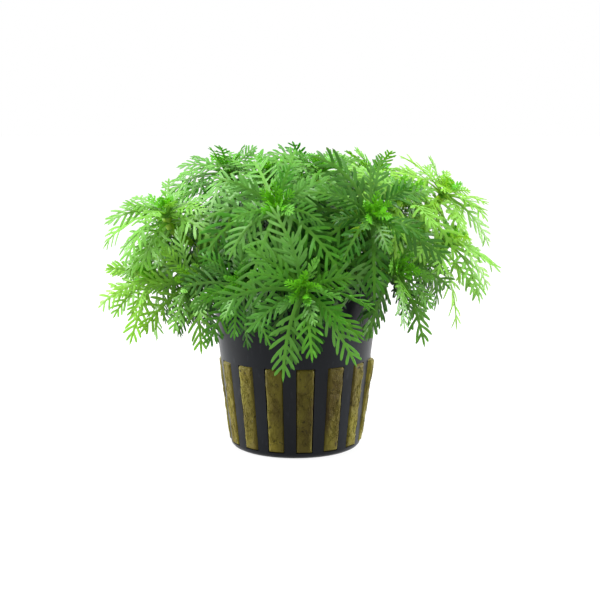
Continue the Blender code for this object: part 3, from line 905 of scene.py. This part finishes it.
def midrib_section(flat, along, length, scale):
    """Six points round the stalk or midrib at a place along the leaf."""
    stalk = length * PETIOLE_STEPS / LEAF_STEPS
    on_stalk = min(along / stalk, 1.0)
    on_blade = max(0.0, along - stalk) / (length - stalk)
    if along < stalk:
        wide = STALK_HALF_WIDTH + (STALK_BASE_HALF_WIDTH - STALK_HALF_WIDTH) * (1 - on_stalk) ** 2
    else:
        wide = blend(MIDRIB_HALF_WIDTH, MIDRIB_TIP_HALF_WIDTH, on_blade)
        wide = blend(wide, STALK_HALF_WIDTH, max(0.0, 1 - STALK_FADE * on_blade))
    thick = blend(STALK_THICKNESS, MIDRIB_THICKNESS, on_stalk)
    thick -= MIDRIB_THINNING * on_blade * MIDRIB_THICKNESS
    return flat.section((along, 0, 0), (0, wide * scale), EDGE_THICKNESS / 2 * scale, thick * scale)


def flat_leaf(length, pairs, rand):
    """A whole comb leaf laid out flat."""
    flat = FlatLeaf()
    scale = min(1.0, SMALLEST_SCALE + (1 - SMALLEST_SCALE) * length / USUAL_LENGTH)
    stalk = length * PETIOLE_STEPS / LEAF_STEPS
    lobed = length * LOBED_STEPS / LEAF_STEPS
    bare_tip = length - stalk - lobed
    stations = [(-STALK_ROOT, None)] + [(share * stalk, None) for share in STALK_PLACES]
    for pair in range(pairs):
        place = (pair + 0.5) / pairs
        way = math.radians(lobe_angle(place) + LOBE_CURVE / 2)
        width = blend(LOBE_WIDTH, LOBE_WIDTH_TIP, place) * scale
        half = min(width / 2 / math.sin(way), LOBE_CROWDING * lobed / pairs)
        middle = stalk + place * lobed
        stations.extend([(middle - half, (place, way, width)), (middle, None), (middle + half, None)])
    after_lobes, before_tip = BARE_TIP_PLACES
    stations.extend([(stalk + lobed + after_lobes * bare_tip, None), (length - before_tip * stalk, None)])
    loops = [midrib_section(flat, along, length, scale) for along, _ in stations]
    for number, (low, high) in enumerate(zip(loops, loops[1:])):
        has_lobes = stations[number][1] or (number > 0 and stations[number - 1][1])
        flat.band(low, high, (RIGHT_EDGE, LEFT_EDGE) if has_lobes else (), True)
    flat.faces.append(tuple(loops[0]))
    flat.close(loops[-1], flat.point(length, 0, 0, 1.0), True)
    for number, (_, lobe) in enumerate(stations):
        if lobe is None:
            continue
        place, way, width = lobe
        low, middle, high = loops[number:number + 3]
        reach = lobe_reach(length, place) * LOBE_LENGTHEN
        for hand, top, under in ((1, 2, 3), (-1, 0, 5)):
            foot = [low[top], middle[top], high[top], high[under], middle[under], low[under]]
            own_way = way + math.radians(either_way(rand, LOBE_TURN_SPREAD))
            tilt = math.tan(math.radians(either_way(rand, LOBE_TILT_SPREAD)))
            toothed = place < TOOTH_LAST_PLACE and rand.random() < TOOTH_SHARE
            tooth_row = rand.choice(TOOTH_ROWS) if toothed else None
            own_reach = reach * rand.uniform(*LOBE_SHORTEN)
            start = flat.points[middle[top]][:2]
            flat.lobe(foot, start, own_way, hand, own_reach, width, scale, tilt, tooth_row)
    return flat


def carry(points, frames, length):
    """Flat points carried to their places along a leaf's frames."""
    points = np.array(points)
    spine, along, side, up = (np.array([tuple(frame[part]) for frame in frames]) for part in range(4))
    place = np.clip(points[:, 0] / length, 0, 1) * LEAF_STEPS
    low = np.minimum(place.astype(int), LEAF_STEPS - 1)
    share = (place - low)[:, None]
    beyond = (points[:, 0] - np.clip(points[:, 0], 0, length))[:, None]

    def between(rows):
        return rows[low] * (1 - share) + rows[low + 1] * share

    return (between(spine) + between(along) * beyond + between(side) * points[:, 1:2]
            + between(up) * points[:, 2:3])


def dome_share(points):
    """How far out points lie in the plant's dome, from 0 in its middle to 1 on its outside."""
    return np.linalg.norm((np.array(points) - DOME_MIDDLE) / DOME_REACH, axis=1)


def add_leaf(shape, leaf, pairs, age_and_shade, pale_and_lit, rand):
    """A finished leaf in its place; its age is 0 in the heart, 1 on a grown leaf and 2 on the oldest, and
    painted shade adds to it as a darker colour.
    """
    flat = flat_leaf(leaf.length, pairs, rand)
    placed = carry(flat.points, leaf_walk(leaf), leaf.length)
    # painted light: leaves of shoots in more light are coloured paler, plus a random paleness of their own
    own_pale_and_lit = min(1.0, pale_and_lit + OWN_PALENESS * rand.random())
    # painted shade: points deep inside the plant's dome are coloured darker, as if older
    ages_and_shade = age_and_shade + INNER_SHADE * np.clip((INNER_SHADE_UNDER - dome_share(placed)) / INNER_SHADE_OVER, 0, 1)
    # painted sheen: a whitish colour laid on some leaves in place of a shine
    sheen = PAINTED_SHEEN * rand.random() ** SHEEN_RARITY
    tones = [(sheen, out, own_pale_and_lit, own_age_and_shade) for out, own_age_and_shade in zip(flat.tones, ages_and_shade)]
    numbers = shape.add(placed, tones)
    shape.faces.extend(tuple(numbers[i] for i in face) for face in flat.faces)


def add_tube(shape, frames, radii, tones):
    """A closed tube through some frames, with fine ribs along it."""
    rings = []
    for (point, first, second, _), radius, tone in zip(frames, radii, tones):
        ring = []
        for side in range(STEM_DRESSED_SIDES):
            angle = 2 * math.pi * side / STEM_DRESSED_SIDES
            ribbed = radius * (1 + STEM_RIBBING * math.cos(side * math.pi))
            ring.append(point + turned(first, second, angle) * ribbed)
        rings.append(shape.add(ring, tone))
    shape.tube(rings)


def dress_stem(number, shoot, material, rand):
    """A soft stem, swollen where leaves have stood on it and thicker towards its tip."""
    phase = rand.random()
    radii, tones = [], []
    for ring in range(STEM_RINGS + 1):
        share = ring / STEM_RINGS
        node = max(0.0, math.cos(2 * math.pi * (share * STEM_NODES + phase))) ** STEM_NODE_SHARPNESS
        swelling = STEM_NODE_SWELL * node + STEM_TIP_SWELL * share ** STEM_TIP_SHARPNESS
        radii.append(STEM_RADIUS * (STEM_WAIST + swelling))
        tones.append((share, node, 0, 1))
    shape = Shape()
    add_tube(shape, stem_frames(shoot), radii, tones)
    shape.make(f"soft_stem_{number:02d}", material, "stem", f"stem_{number:02d}")


def in_box(leaf):
    """Whether a leaf ends inside the model's box."""
    tip = leaf_walk(leaf)[-1][0] * METRES_PER_MM
    low, high = CAD_BOX
    return all(low[axis] <= tip[axis] <= high[axis] for axis in range(3))


def shoot_place(shoot, height):
    """The middle of a shoot and the way it grows, at a height along it from the middle of its crown."""
    axis = shoot_axes(shoot)[0]
    to_stem = -CROWN_HALF_HEIGHT - GAP
    if height > to_stem:
        return Vector(shoot.crown) + axis * height, axis
    left = to_stem - height
    frames = stem_frames(shoot)[::-1]
    for above, below in zip(frames, frames[1:]):
        step = (above[0] - below[0]).length
        if left <= step:
            share = left / step
            return above[0].lerp(below[0], share), above[3].lerp(below[3], share).normalized()
        left -= step
    return None, None


def whorl_turns(first, count, spread, rand):
    """Turns of the leaves of a whorl, each a little off its even place."""
    for side in range(count):
        yield first + 360.0 * side / count + either_way(rand, spread)


def extra_leaves(number, shoot, crowd, rand):
    """More leaves of a shoot, each with its age and painted shade: whorls in and below its crown and strays
    on its stem.
    """
    leaves = []
    for height, pitch, share, count, turn in EXTRA_TIERS:
        middle, axis = shoot_place(shoot, height)
        if middle is None:
            continue
        first, second = across(axis)
        # real ageing and painted shade: leaves further down under the crown are coloured darker
        age_and_shade = 1 + min(1.0, max(0.0, (-height - AGEING_AND_SHADE_FROM) / AGEING_AND_SHADE_OVER))
        for own_turn in whorl_turns(shoot.spin + turn, count, EXTRA_TURN_SPREAD, rand):
            own_roll = either_way(rand, ROLL)
            length = shoot.leaf * share * rand.uniform(*EXTRA_LENGTHS)
            habit = leaf_habit(rand)

            def aim(nudge, lift, roll, size):
                out = turned(first, second, math.radians(own_turn + nudge))
                return aimed_leaf(middle + out * STEM_RADIUS, out, axis, pitch + lift, own_roll + roll,
                                  length * size, True, UPPER_LOBE_PAIRS, habit)

            leaf = clear_leaf(aim, crowd, number, tries=EXTRA_TRIES)
            if leaf is not None and in_box(leaf):
                leaves.append((leaf, age_and_shade))
                crowd.add(leaf_solid(leaf))
    for spot in STRAY_LEAVES.get(number, []):
        leaf = lower_leaf(shoot, *spot, crowd, rand)
        if leaf is not None and in_box(leaf):
            leaves.append((leaf, 1.0))
    return leaves


def heart_leaves(shoot, rand):
    """The small young leaves that stand round a shoot's growing point."""
    axis, first, second = shoot_axes(shoot)
    for height, pitch, share, count, turn in HEART_TIERS:
        for own_turn in whorl_turns(shoot.spin + turn, count, HEART_TURN_SPREAD, rand):
            out = turned(first, second, math.radians(own_turn))
            start = Vector(shoot.crown) + axis * height + out * HEART_RADIUS
            length = shoot.leaf * share * rand.uniform(*HEART_LENGTHS)
            own_pitch = pitch + either_way(rand, HEART_PITCH_SPREAD)
            roll = either_way(rand, HEART_ROLL_SPREAD)
            yield aimed_leaf(start, out, axis, own_pitch, roll, length, True, UPPER_LOBE_PAIRS,
                             leaf_habit(rand))


def dress_rosette(number, shoot, whorl, extras, material, rand):
    """A shoot's tip: its swollen crown, its whorl of leaves and the young ones in its heart."""
    shape = Shape()
    axis, first, second = shoot_axes(shoot)
    frames = [(Vector(shoot.crown) + axis * height, first, second, axis) for height, _ in CROWN_PROFILE]
    add_tube(shape, frames, [radius for _, radius in CROWN_PROFILE], [CROWN_TONE] * len(frames))
    pale_and_lit, shaded = LIT_PALENESS.get(number, 0), SHADED.get(number, 0)
    # shaded adds painted shade to the leaves' age, colouring them darker
    for leaf in whorl:
        add_leaf(shape, leaf, LOBE_PAIRS, rand.uniform(*WHORL_AGES) + shaded, pale_and_lit, rand)
    for leaf, age_and_shade in extras:
        add_leaf(shape, leaf, LOBE_PAIRS, age_and_shade * rand.uniform(*EXTRA_AGES) + shaded, pale_and_lit, rand)
    for leaf in heart_leaves(shoot, rand):
        add_leaf(shape, leaf, YOUNG_LOBE_PAIRS, leaf.length / shoot.leaf * HEART_AGE, pale_and_lit, rand)
    shape.make(f"comb_rosette_{number:02d}", material, "leaf", f"rosette_{number:02d}")


def dress_plant(leaf_green, stem_green):
    """Every stem, rosette and lower leaf, grown in the solids' own order."""
    shoots = list(enumerate(SHOOTS, 1))
    crowd = Crowd()
    crowd.add(pot_guard())
    for number, shoot in shoots:
        crowd.add(make_stem(shoot))
        crowd.crowns[number] = crown_guard(shoot)
    rolls = random.Random(ROLL_SEED)
    whorls = {number: rosette_leaves(number, shoot, crowd, rolls) for number, shoot in shoots}
    lower = []
    for number, shoot in shoots:
        for spot in shoot.lower_leaves:
            leaf = lower_leaf(shoot, *spot, crowd, rolls)
            if leaf is not None:
                lower.append((leaf, LIT_PALENESS.get(number, 0)))
    rand = random.Random(LOOKS_SEED)
    extras = {number: extra_leaves(number, shoot, crowd, rand) for number, shoot in shoots}
    for number, shoot in shoots:
        dress_stem(number, shoot, stem_green, rand)
        dress_rosette(number, shoot, whorls[number], extras[number], leaf_green, rand)
    for number, (leaf, pale_and_lit) in enumerate(lower, 1):
        shape = Shape()
        add_leaf(shape, leaf, LOBE_PAIRS, rand.uniform(*LOWER_AGES), pale_and_lit, rand)
        shape.make(f"comb_leaf_{number:02d}", leaf_green, "leaf", f"lower_leaf_{number:02d}")


def split_turns(rib_parts, slit_parts):
    """Turns round the pot, its ribs and slits cut in parts, each with its rib's or slit's number."""
    coarse = list(rib_turns())
    turns = []
    for column, (turn, following) in enumerate(zip(coarse, coarse[1:] + [coarse[0] + 360])):
        parts = slit_parts if column % 2 else rib_parts
        turns.extend((blend(turn, following, part / parts), column) for part in range(parts))
    return turns


def pot_rows():
    """Matching places on the pot's outer and inner profiles, from the drains in its base to its rim."""
    foot_radius = wall_radius(SLIT_FOOT)
    rows = [((DRAIN_INNER, 0), (DRAIN_INNER, FLOOR)), ((DRAIN_OUTER, 0), (DRAIN_OUTER, FLOOR))]
    for step in range(FOOT_ROWS):
        turn = math.pi / 2 * step / FOOT_ROWS
        out, up = math.sin(turn), 1 - math.cos(turn)
        outer = blend(POT_BASE_RADIUS - BASE_CHAMFER, foot_radius, out)
        inner = blend(POT_BASE_RADIUS - INNER_CHAMFER, foot_radius - WALL, out)
        rows.append(((outer, SLIT_FOOT * up), (inner, blend(FLOOR, SLIT_FOOT, up))))
    lip_foot = POT_HEIGHT - LIP_HEIGHT
    lip_radius = wall_radius(lip_foot) + LIP_REACH
    heights = [blend(SLIT_FOOT, SLIT_HEAD, step / WALL_ROWS) for step in range(WALL_ROWS + 1)]
    profile = [(wall_radius(height), height) for height in heights + [lip_foot]]
    profile += [(lip_radius - LIP_ROUNDING, lip_foot + LIP_SLANT), (lip_radius, lip_foot + LIP_ROUNDING),
                (lip_radius, POT_HEIGHT - LIP_ROUNDING), (lip_radius - LIP_ROUNDING, POT_HEIGHT)]
    rows += [((radius, height), (wall_radius(height) - WALL, height)) for radius, height in profile]
    return rows


def dress_pot(material):
    """The pot as one thick moulded sheet with rounded edges, its slits and its drains cut through it."""
    cells = split_turns(RIB_COLUMNS, SLIT_COLUMNS)
    rows = pot_rows()
    first_slit_row = DRAIN_ROWS + FOOT_ROWS
    shape = Shape()
    outer, inner = ([shape.add([polar(radius, turn, height) for turn, _ in cells], PLAIN_TONE)
                     for radius, height in profile] for profile in zip(*rows))

    def is_open(row, column):
        coarse = cells[column % len(cells)][1]
        if row == 0:
            return (coarse + 1) % (2 * RIBS // DRAINS) < DRAIN_COLUMNS
        return first_slit_row <= row < first_slit_row + WALL_ROWS and coarse % 2 == 1

    def corners(rings, row, column):
        after = (column + 1) % len(cells)
        return rings[row][column], rings[row][after], rings[row + 1][after], rings[row + 1][column]

    for row in range(len(rows) - 1):
        for column in range(len(cells)):
            if is_open(row, column):
                continue
            a, b, c, d = corners(outer, row, column)
            e, f, g, h = corners(inner, row, column)
            shape.faces.extend([(a, b, c, d), (h, g, f, e)])
            if is_open(row, column + 1):
                shape.faces.append((b, f, g, c))
            if is_open(row, column - 1):
                shape.faces.append((a, d, h, e))
            if row > 0 and is_open(row - 1, column):
                shape.faces.append((a, e, f, b))
            if row == len(rows) - 2 or is_open(row + 1, column):
                shape.faces.append((d, c, g, h))
    shape.faces.extend(face for column, face in enumerate(band(outer[0], inner[0])) if is_open(0, column))
    shape.faces.extend([tuple(reversed(outer[0])), tuple(inner[0])])
    pot = shape.make("net_pot", material, "pot", "pot", sharp_over=SHARP_OVER)
    bevel = pot.modifiers.new("rounded_edges", "BEVEL")
    bevel.width = EDGE_BEVEL * METRES_PER_MM
    bevel.segments = 2
    bevel.limit_method = "ANGLE"
    bevel.angle_limit = math.radians(SHARP_OVER)


def wool_bulge(turn, height):
    """How far the wool stands out of a slit: furthest at the right, where its upper end squeezes out."""
    at_right = max(0.0, math.cos(math.radians(turn - WOOL_RIGHT_TURN))) ** WOOL_RIGHT_SHARPNESS
    share = min(1.0, max(0.0, (height - SLIT_FOOT) / (SLIT_HEAD - SLIT_FOOT)))
    return blend(WOOL_BULGE, WOOL_RIGHT_BULGE, at_right * share)


def wool_radius(turn, height):
    """Radius of the plug's side: behind the ribs and the band, and pillowing out through the slits."""
    behind = wall_radius(height) - WALL - GAP / 2
    from_middle = (turn - RIB_TURN) % RIB_STEP - RIB_STEP / 2
    across_slit = min(abs(from_middle) / WOOL_SLIT_HALF, 1.0)
    foot, head = SLIT_FOOT + WOOL_EDGE, SLIT_HEAD - WOOL_EDGE
    if not foot < height < head or across_slit >= 1.0:
        return behind
    up_slit = min(height - foot, head - height) / WOOL_PILLOW
    pillow = (1 - across_slit ** WOOL_SQUARENESS) ** 0.5 * min(1.0, up_slit) ** 0.5
    return blend(behind, wall_radius(height) + wool_bulge(turn, height), pillow)


def wool_relief(there):
    """How far the wool's lumps and grain stand out at a point."""
    lumps = noise.noise(there / WOOL_LUMP_SIZE) * WOOL_LUMP
    return lumps + noise.noise(there / WOOL_GRAIN_SIZE) * WOOL_GRAIN


def wool_point(turn, height):
    """A point on the plug's side, with its lumps and its grain."""
    radius = wool_radius(turn, height)
    rough = radius + wool_relief(polar(radius, turn, height))
    furthest = wall_radius(height) + wool_bulge(turn, height) + WOOL_PROUD
    return polar(min(rough, furthest), turn, height)


def dress_wool(material):
    """The plug as one rough block, closed at its foot and its top."""
    turns = [turn for turn, _ in split_turns(WOOL_RIB_COLUMNS, WOOL_SLIT_COLUMNS)]
    foot = FLOOR + GAP / 2
    side_rows = int((WOOL_TOP - foot) / WOOL_ROW)
    heights = [blend(foot, WOOL_TOP, row / side_rows) for row in range(side_rows + 1)]
    points = [[wool_point(turn, height) for turn in turns] for height in heights]
    for row in range(1, WOOL_TOP_ROWS):
        radius = (wall_radius(WOOL_TOP) - WALL) * (1 - row / WOOL_TOP_ROWS)
        level = [polar(radius, turn, WOOL_TOP) for turn in turns]
        points.append([there + UP * wool_relief(there) * WOOL_TOP_ROUGHNESS for there in level])
    shape = Shape()
    shape.tube([shape.add(ring, PLAIN_TONE) for ring in points])
    shape.make("wool_block", material, "rockwool", "rockwool_plug", sharp_over=ALL_SMOOTH)


def dress_fibres(material):
    """Loose fibres of the plug, lying along its surface in the slits."""
    rand = random.Random(FIBRE_SEED)
    shape = Shape()
    lowest, highest = SLIT_FOOT + FIBRE_LIMITS[0], SLIT_HEAD - FIBRE_LIMITS[1]
    for _ in range(FIBRES):
        slit = RIB_TURN + (rand.randrange(RIBS) + 0.5) * RIB_STEP
        turn = slit + either_way(rand, WOOL_SLIT_HALF) * FIBRE_SPREAD
        height = rand.uniform(SLIT_FOOT + FIBRE_MARGINS[0], SLIT_HEAD - FIBRE_MARGINS[1])
        heading = rand.gauss(math.pi / 2, FIBRE_HEADING_SPREAD)
        step = rand.uniform(*FIBRE_LENGTH) / FIBRE_JOINTS
        curl = either_way(rand, FIBRE_CURL)
        lifted = rand.uniform(*FIBRE_LIFT)
        points = []
        for joint in range(FIBRE_JOINTS + 1):
            there = wool_point(turn, height)
            arch = FIBRE_ARCH * math.sin(math.pi * joint / FIBRE_JOINTS)
            points.append(there + outward(there) * (lifted + arch))
            turn += math.degrees(math.cos(heading) * step / wall_radius(height))
            turn = min(max(turn, slit - WOOL_SLIT_HALF), slit + WOOL_SLIT_HALF)
            height = min(max(height + math.sin(heading) * step, lowest), highest)
            heading += curl
        add_fibre(shape, points, (rand.random(), 0, 0, 1))
    shape.make("wool_fibres", material, "rockwool", sharp_over=ALL_SMOOTH)


def add_fibre(shape, points, tone):
    """A thin three-sided thread through some points, drawn to nothing at both ends."""
    angles = [2 * math.pi * side / 3 for side in range(3)]
    rings = [[shape.add([points[0]], tone)[0]] * 3]
    for before, point, following in zip(points, points[1:], points[2:]):
        way = following - before
        beside = way.cross(outward(point)).normalized()
        above = beside.cross(way).normalized()
        ring = [point + turned(beside, above, angle) * FIBRE_RADIUS for angle in angles]
        rings.append(shape.add(ring, tone))
    rings.append([shape.add([points[-1]], tone)[0]] * 3)
    for number, (low, high) in enumerate(zip(rings, rings[1:])):
        for side in range(3):
            after = (side + 1) % 3
            if number == 0:
                shape.faces.append((low[0], high[side], high[after]))
            elif number == len(points) - 2:
                shape.faces.append((high[0], low[after], low[side]))
            else:
                shape.faces.append((low[side], high[side], high[after], low[after]))


class Nodes:
    """A node tree under construction."""

    def __init__(self, owner):
        owner.use_nodes = True
        self.owner = owner
        self.tree = owner.node_tree
        self.tree.nodes.clear()

    def add(self, kind, sockets=None, **settings):
        """A new node; sockets gives its inputs as values or as other nodes' outputs."""
        node = self.tree.nodes.new(kind)
        for setting, value in settings.items():
            setattr(node, setting, value)
        for socket, value in (sockets or {}).items():
            if isinstance(value, bpy.types.NodeSocket):
                self.tree.links.new(value, node.inputs[socket])
            else:
                node.inputs[socket].default_value = value
        return node


class Finish(Nodes):
    """A material under construction, with short calls for its nodes."""

    def __init__(self, name):
        super().__init__(bpy.data.materials.new(name))
        self.here = self.add("ShaderNodeTexCoord").outputs["Object"]

    def tones(self):
        """The four numbers that the piece's points carry."""
        tone = self.add("ShaderNodeVertexColor", layer_name="tone")
        parts = self.add("ShaderNodeSeparateColor", {"Color": tone.outputs["Color"]})
        return [*parts.outputs, tone.outputs["Alpha"]]

    def grain(self, size, detail=2.0, stretch=(1, 1, 1)):
        """Noise from 0 to 1 with blotches of a size in millimetres."""
        per_metre = 1 / (size * METRES_PER_MM)
        scaled = self.add("ShaderNodeVectorMath", {0: self.here, 1: [per_metre * s for s in stretch]},
                          operation="MULTIPLY").outputs[0]
        sockets = {"Vector": scaled, "Scale": 1.0, "Detail": detail}
        return self.add("ShaderNodeTexNoise", sockets).outputs["Fac"]

    def ramp(self, value, low, high):
        """The share, 0 to 1, at which a value lies between two others."""
        sockets = {"Value": value, "From Min": low, "From Max": high}
        return self.add("ShaderNodeMapRange", sockets).outputs["Result"]

    def mix(self, share, first, second):
        """A blend of two colours."""
        return self.add("ShaderNodeMix", {0: share, 6: first, 7: second}, data_type="RGBA").outputs[2]

    def plus(self, first, second):
        return self.add("ShaderNodeMath", {0: first, 1: second}, operation="ADD").outputs[0]

    def times(self, first, second):
        return self.add("ShaderNodeMath", {0: first, 1: second}, operation="MULTIPLY").outputs[0]

    def bump(self, height, strength, depth):
        """A normal for small relief of a depth in millimetres."""
        sockets = {"Height": height, "Strength": strength, "Distance": depth * METRES_PER_MM}
        return self.add("ShaderNodeBump", sockets).outputs["Normal"]

    def body(self, sockets, share=0.0, through=None):
        """The material from its main shader's sockets; a share of the light passes as through says."""
        shader = self.add("ShaderNodeBsdfPrincipled", sockets)
        if through:
            glow = self.add("ShaderNodeBsdfTranslucent", through)
            shader = self.add("ShaderNodeMixShader", {0: share, 1: shader.outputs[0], 2: glow.outputs[0]})
        self.add("ShaderNodeOutputMaterial", {"Surface": shader.outputs[0]})
        return self.owner


def leaf_finish():
    """Thin living leaf: green under a painted whitish sheen, dark with age and painted shade, paler with
    painted light on some shoots, yellow-green in the heart, lit through.
    """
    leaf = Finish("comb_leaf")
    sheen, out, pale_and_lit, age_and_shade = leaf.tones()
    # the first ramp runs from grown to oldest and most shaded, real ageing and painted shade together; the
    # second towards the young heart
    old_and_shaded, young = leaf.ramp(age_and_shade, 1.0, 2.0), leaf.ramp(age_and_shade, 0.75, 0.1)
    green = leaf.mix(leaf.ramp(leaf.grain(9.0, detail=1), 0.35, 0.7), LEAF_GREEN, LEAF_BLUE_GREEN)
    # painted light: paler green for shoots that stand in more light
    green = leaf.mix(pale_and_lit, green, LEAF_LIT_PALE_GREEN)
    # painted sheen: whitish green over the leaf's colour
    green = leaf.mix(sheen, green, LEAF_SHEEN_GREEN)
    green = leaf.mix(old_and_shaded, green, LEAF_OLD_SHADED_GREEN)
    green = leaf.mix(young, green, HEART_GREEN)
    green = leaf.mix(leaf.times(leaf.ramp(out, 0.12, 0.0), RIB_SHARE), green, RIB_GREEN)
    tips = leaf.times(leaf.ramp(out, 0.80, 1.0), leaf.ramp(leaf.grain(5.0, detail=1), 0.52, 0.66))
    green = leaf.mix(leaf.times(tips, BROWN_TIP_SHARE), green, TIP_BROWN)
    # painted light: a brighter through colour for the same shoots
    through = leaf.mix(pale_and_lit, LEAF_THROUGH, LIT_PALE_THROUGH)
    through = leaf.mix(old_and_shaded, through, OLD_SHADED_THROUGH)
    through = leaf.mix(young, through, HEART_THROUGH)
    relief = leaf.bump(leaf.grain(0.5), strength=0.35, depth=0.12)
    return leaf.body({"Base Color": green, "Roughness": 0.40, "IOR": 1.42, "Specular IOR Level": 0.24,
                      "Normal": relief}, LEAF_SHINE_THROUGH, {"Color": through, "Normal": relief})


def stem_finish():
    """Soft juicy stem, yellow-green, paler at its swellings and streaked along its length."""
    stem = Finish("soft_stem")
    share, swelling, _, _ = stem.tones()
    green = stem.mix(share, STEM_FOOT_GREEN, STEM_TOP_GREEN)
    green = stem.mix(stem.times(swelling, STEM_NODE_SHARE), green, STEM_NODE_GREEN)
    streaks = stem.grain(0.5, stretch=(1, 1, 0.12))
    green = stem.mix(stem.times(stem.ramp(streaks, 0.5, 0.7), STEM_STREAK_SHARE), green, LEAF_GREEN)
    return stem.body({"Base Color": green, "Roughness": 0.34, "IOR": 1.42, "Specular IOR Level": 0.5,
                      "Normal": stem.bump(streaks, strength=0.3, depth=0.1)},
                     STEM_SHINE_THROUGH, {"Color": HEART_THROUGH})


def plastic_finish():
    """Moulded charcoal plastic, satin, with faint marks of the mould and of handling."""
    plastic = Finish("moulded_plastic")
    colour = plastic.mix(plastic.ramp(plastic.grain(14.0), 0.35, 0.65), PLASTIC_DARK, PLASTIC_PALE)
    scuffs = plastic.ramp(plastic.grain(1.2, detail=4, stretch=(1, 1, 0.4)), 0.60, 0.72)
    colour = plastic.mix(plastic.times(scuffs, SCUFF_SHARE), colour, PLASTIC_SCUFF)
    wear = plastic.times(plastic.grain(3.0, detail=3), PLASTIC_ROUGHENING)
    return plastic.body({"Base Color": colour, "Roughness": plastic.plus(PLASTIC_SMOOTHEST, wear),
                         "IOR": 1.46, "Specular IOR Level": 0.15,
                         "Normal": plastic.bump(plastic.grain(0.25), strength=0.18, depth=0.05)})


def wool_finish(name, is_fibre=False):
    """Damp mineral wool: olive and yellow, with brown patches and dark specks; loose fibres are paler."""
    wool = Finish(name)
    blotches = wool.ramp(wool.grain(7.0, stretch=(1, 1, 0.5)), 0.38, 0.62)
    colour = wool.mix(blotches, WOOL_OLIVE, WOOL_YELLOW)
    places = {0: wool.here, 1: BROWN_PATCH_MIDDLE}
    away = wool.add("ShaderNodeVectorMath", places, operation="DISTANCE").outputs["Value"]
    near = wool.ramp(away, BROWN_PATCH_REACH, BROWN_PATCH_CORE * BROWN_PATCH_REACH)
    brown = wool.ramp(wool.grain(5.0, detail=3, stretch=(1, 1, 0.6)), 0.35, 0.60)
    browned = wool.plus(wool.times(brown, BROWN_BLOTCH_SHARE), wool.times(near, BROWN_PATCH_SHARE))
    colour = wool.mix(browned, colour, WOOL_BROWN)
    specks = wool.ramp(wool.grain(1.1, detail=3), 0.62, 0.70)
    colour = wool.mix(wool.times(specks, SPECK_SHARE), colour, WOOL_DARK)
    if is_fibre:
        colour = wool.mix(wool.times(wool.tones()[0], PALE_FIBRE_SHARE), colour, WOOL_PALE)
    relief = wool.plus(wool.grain(0.6, detail=3, stretch=(1, 1, 0.4)), wool.grain(2.0))
    return wool.body({"Base Color": colour, "Roughness": 0.55, "Specular IOR Level": 0.10,
                      "Normal": wool.bump(relief, strength=0.45, depth=0.3)})


def make_sky():
    """A white sky that lights the plant more from behind than from the front."""
    scene = bpy.context.scene
    scene.world = bpy.data.worlds.new("white_sky")
    sky = Nodes(scene.world)
    way = sky.add("ShaderNodeTexCoord").outputs["Generated"]
    back = sky.add("ShaderNodeSeparateXYZ", {0: way}).outputs["Y"]
    light = sky.add("ShaderNodeMapRange", {"Value": back, "From Min": -1, "From Max": 1, "To Min": SKY_FRONT,
                                           "To Max": SKY_BACK}).outputs["Result"]
    seen = sky.add("ShaderNodeLightPath").outputs["Is Camera Ray"]
    strength = sky.add("ShaderNodeMapRange", {"Value": seen, "To Min": light, "To Max": SKY_SEEN})
    background = sky.add("ShaderNodeBackground", {"Color": WHITE, "Strength": strength.outputs["Result"]})
    sky.add("ShaderNodeOutputWorld", {"Surface": background.outputs[0]})
    scene.view_settings.view_transform = "Standard"


def make_floor():
    """A plain pale floor."""
    white = Finish("studio_floor").body({
        "Base Color": (FLOOR_WHITE, FLOOR_WHITE, FLOOR_WHITE, 1), "Emission Color": WHITE,
        "Emission Strength": FLOOR_GLOW, "Roughness": 1.0, "Specular IOR Level": 0.0})
    mesh = bpy.data.meshes.new("studio_floor")
    corners = [(x * FLOOR_REACH, y * FLOOR_REACH, 0) for x, y in ((-1, -1), (1, -1), (1, 1), (-1, 1))]
    mesh.from_pydata(corners, [], [(0, 1, 2, 3)])
    mesh.materials.append(white)
    put("studio_floor", mesh)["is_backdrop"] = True


def make_lamps():
    """Soft lamps above the plant and at both sides, the side ones a little behind it."""
    for name, (spot, watts) in LAMPS.items():
        lamp = bpy.data.lights.new(name, "AREA")
        lamp.size = LAMP_SIZE
        lamp.energy = watts
        holder = put(name, lamp)
        holder.location = spot
        holder.rotation_euler = (LAMP_TARGET - Vector(spot)).to_track_quat("-Z", "Y").to_euler()


def make_camera():
    """The photograph's view, from a little above the plant and looking slightly down."""
    lens = bpy.data.cameras.new("camera")
    lens.lens = CAMERA_LENS
    lens.sensor_width = CAMERA_SENSOR
    camera = put("camera", lens)
    camera.location = CAMERA_PLACE
    camera.rotation_euler = (math.pi / 2 - CAMERA_PITCH, 0, 0)
    bpy.context.scene.camera = camera


def write_sizes():
    """Work out the solid model's box and the visual model's box, in metres, as plain lists; they are not
    written out.
    """
    boxes = {"cad": CAD_BOX, "visual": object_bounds()}
    plain = {name: [list(corner) for corner in box] for name, box in boxes.items()}


make_camera()
make_sky()
make_floor()
make_lamps()
dress_pot(plastic_finish())
dress_wool(wool_finish("damp_wool"))
dress_fibres(wool_finish("wool_fibre", is_fibre=True))
dress_plant(leaf_finish(), stem_finish())
write_sizes()
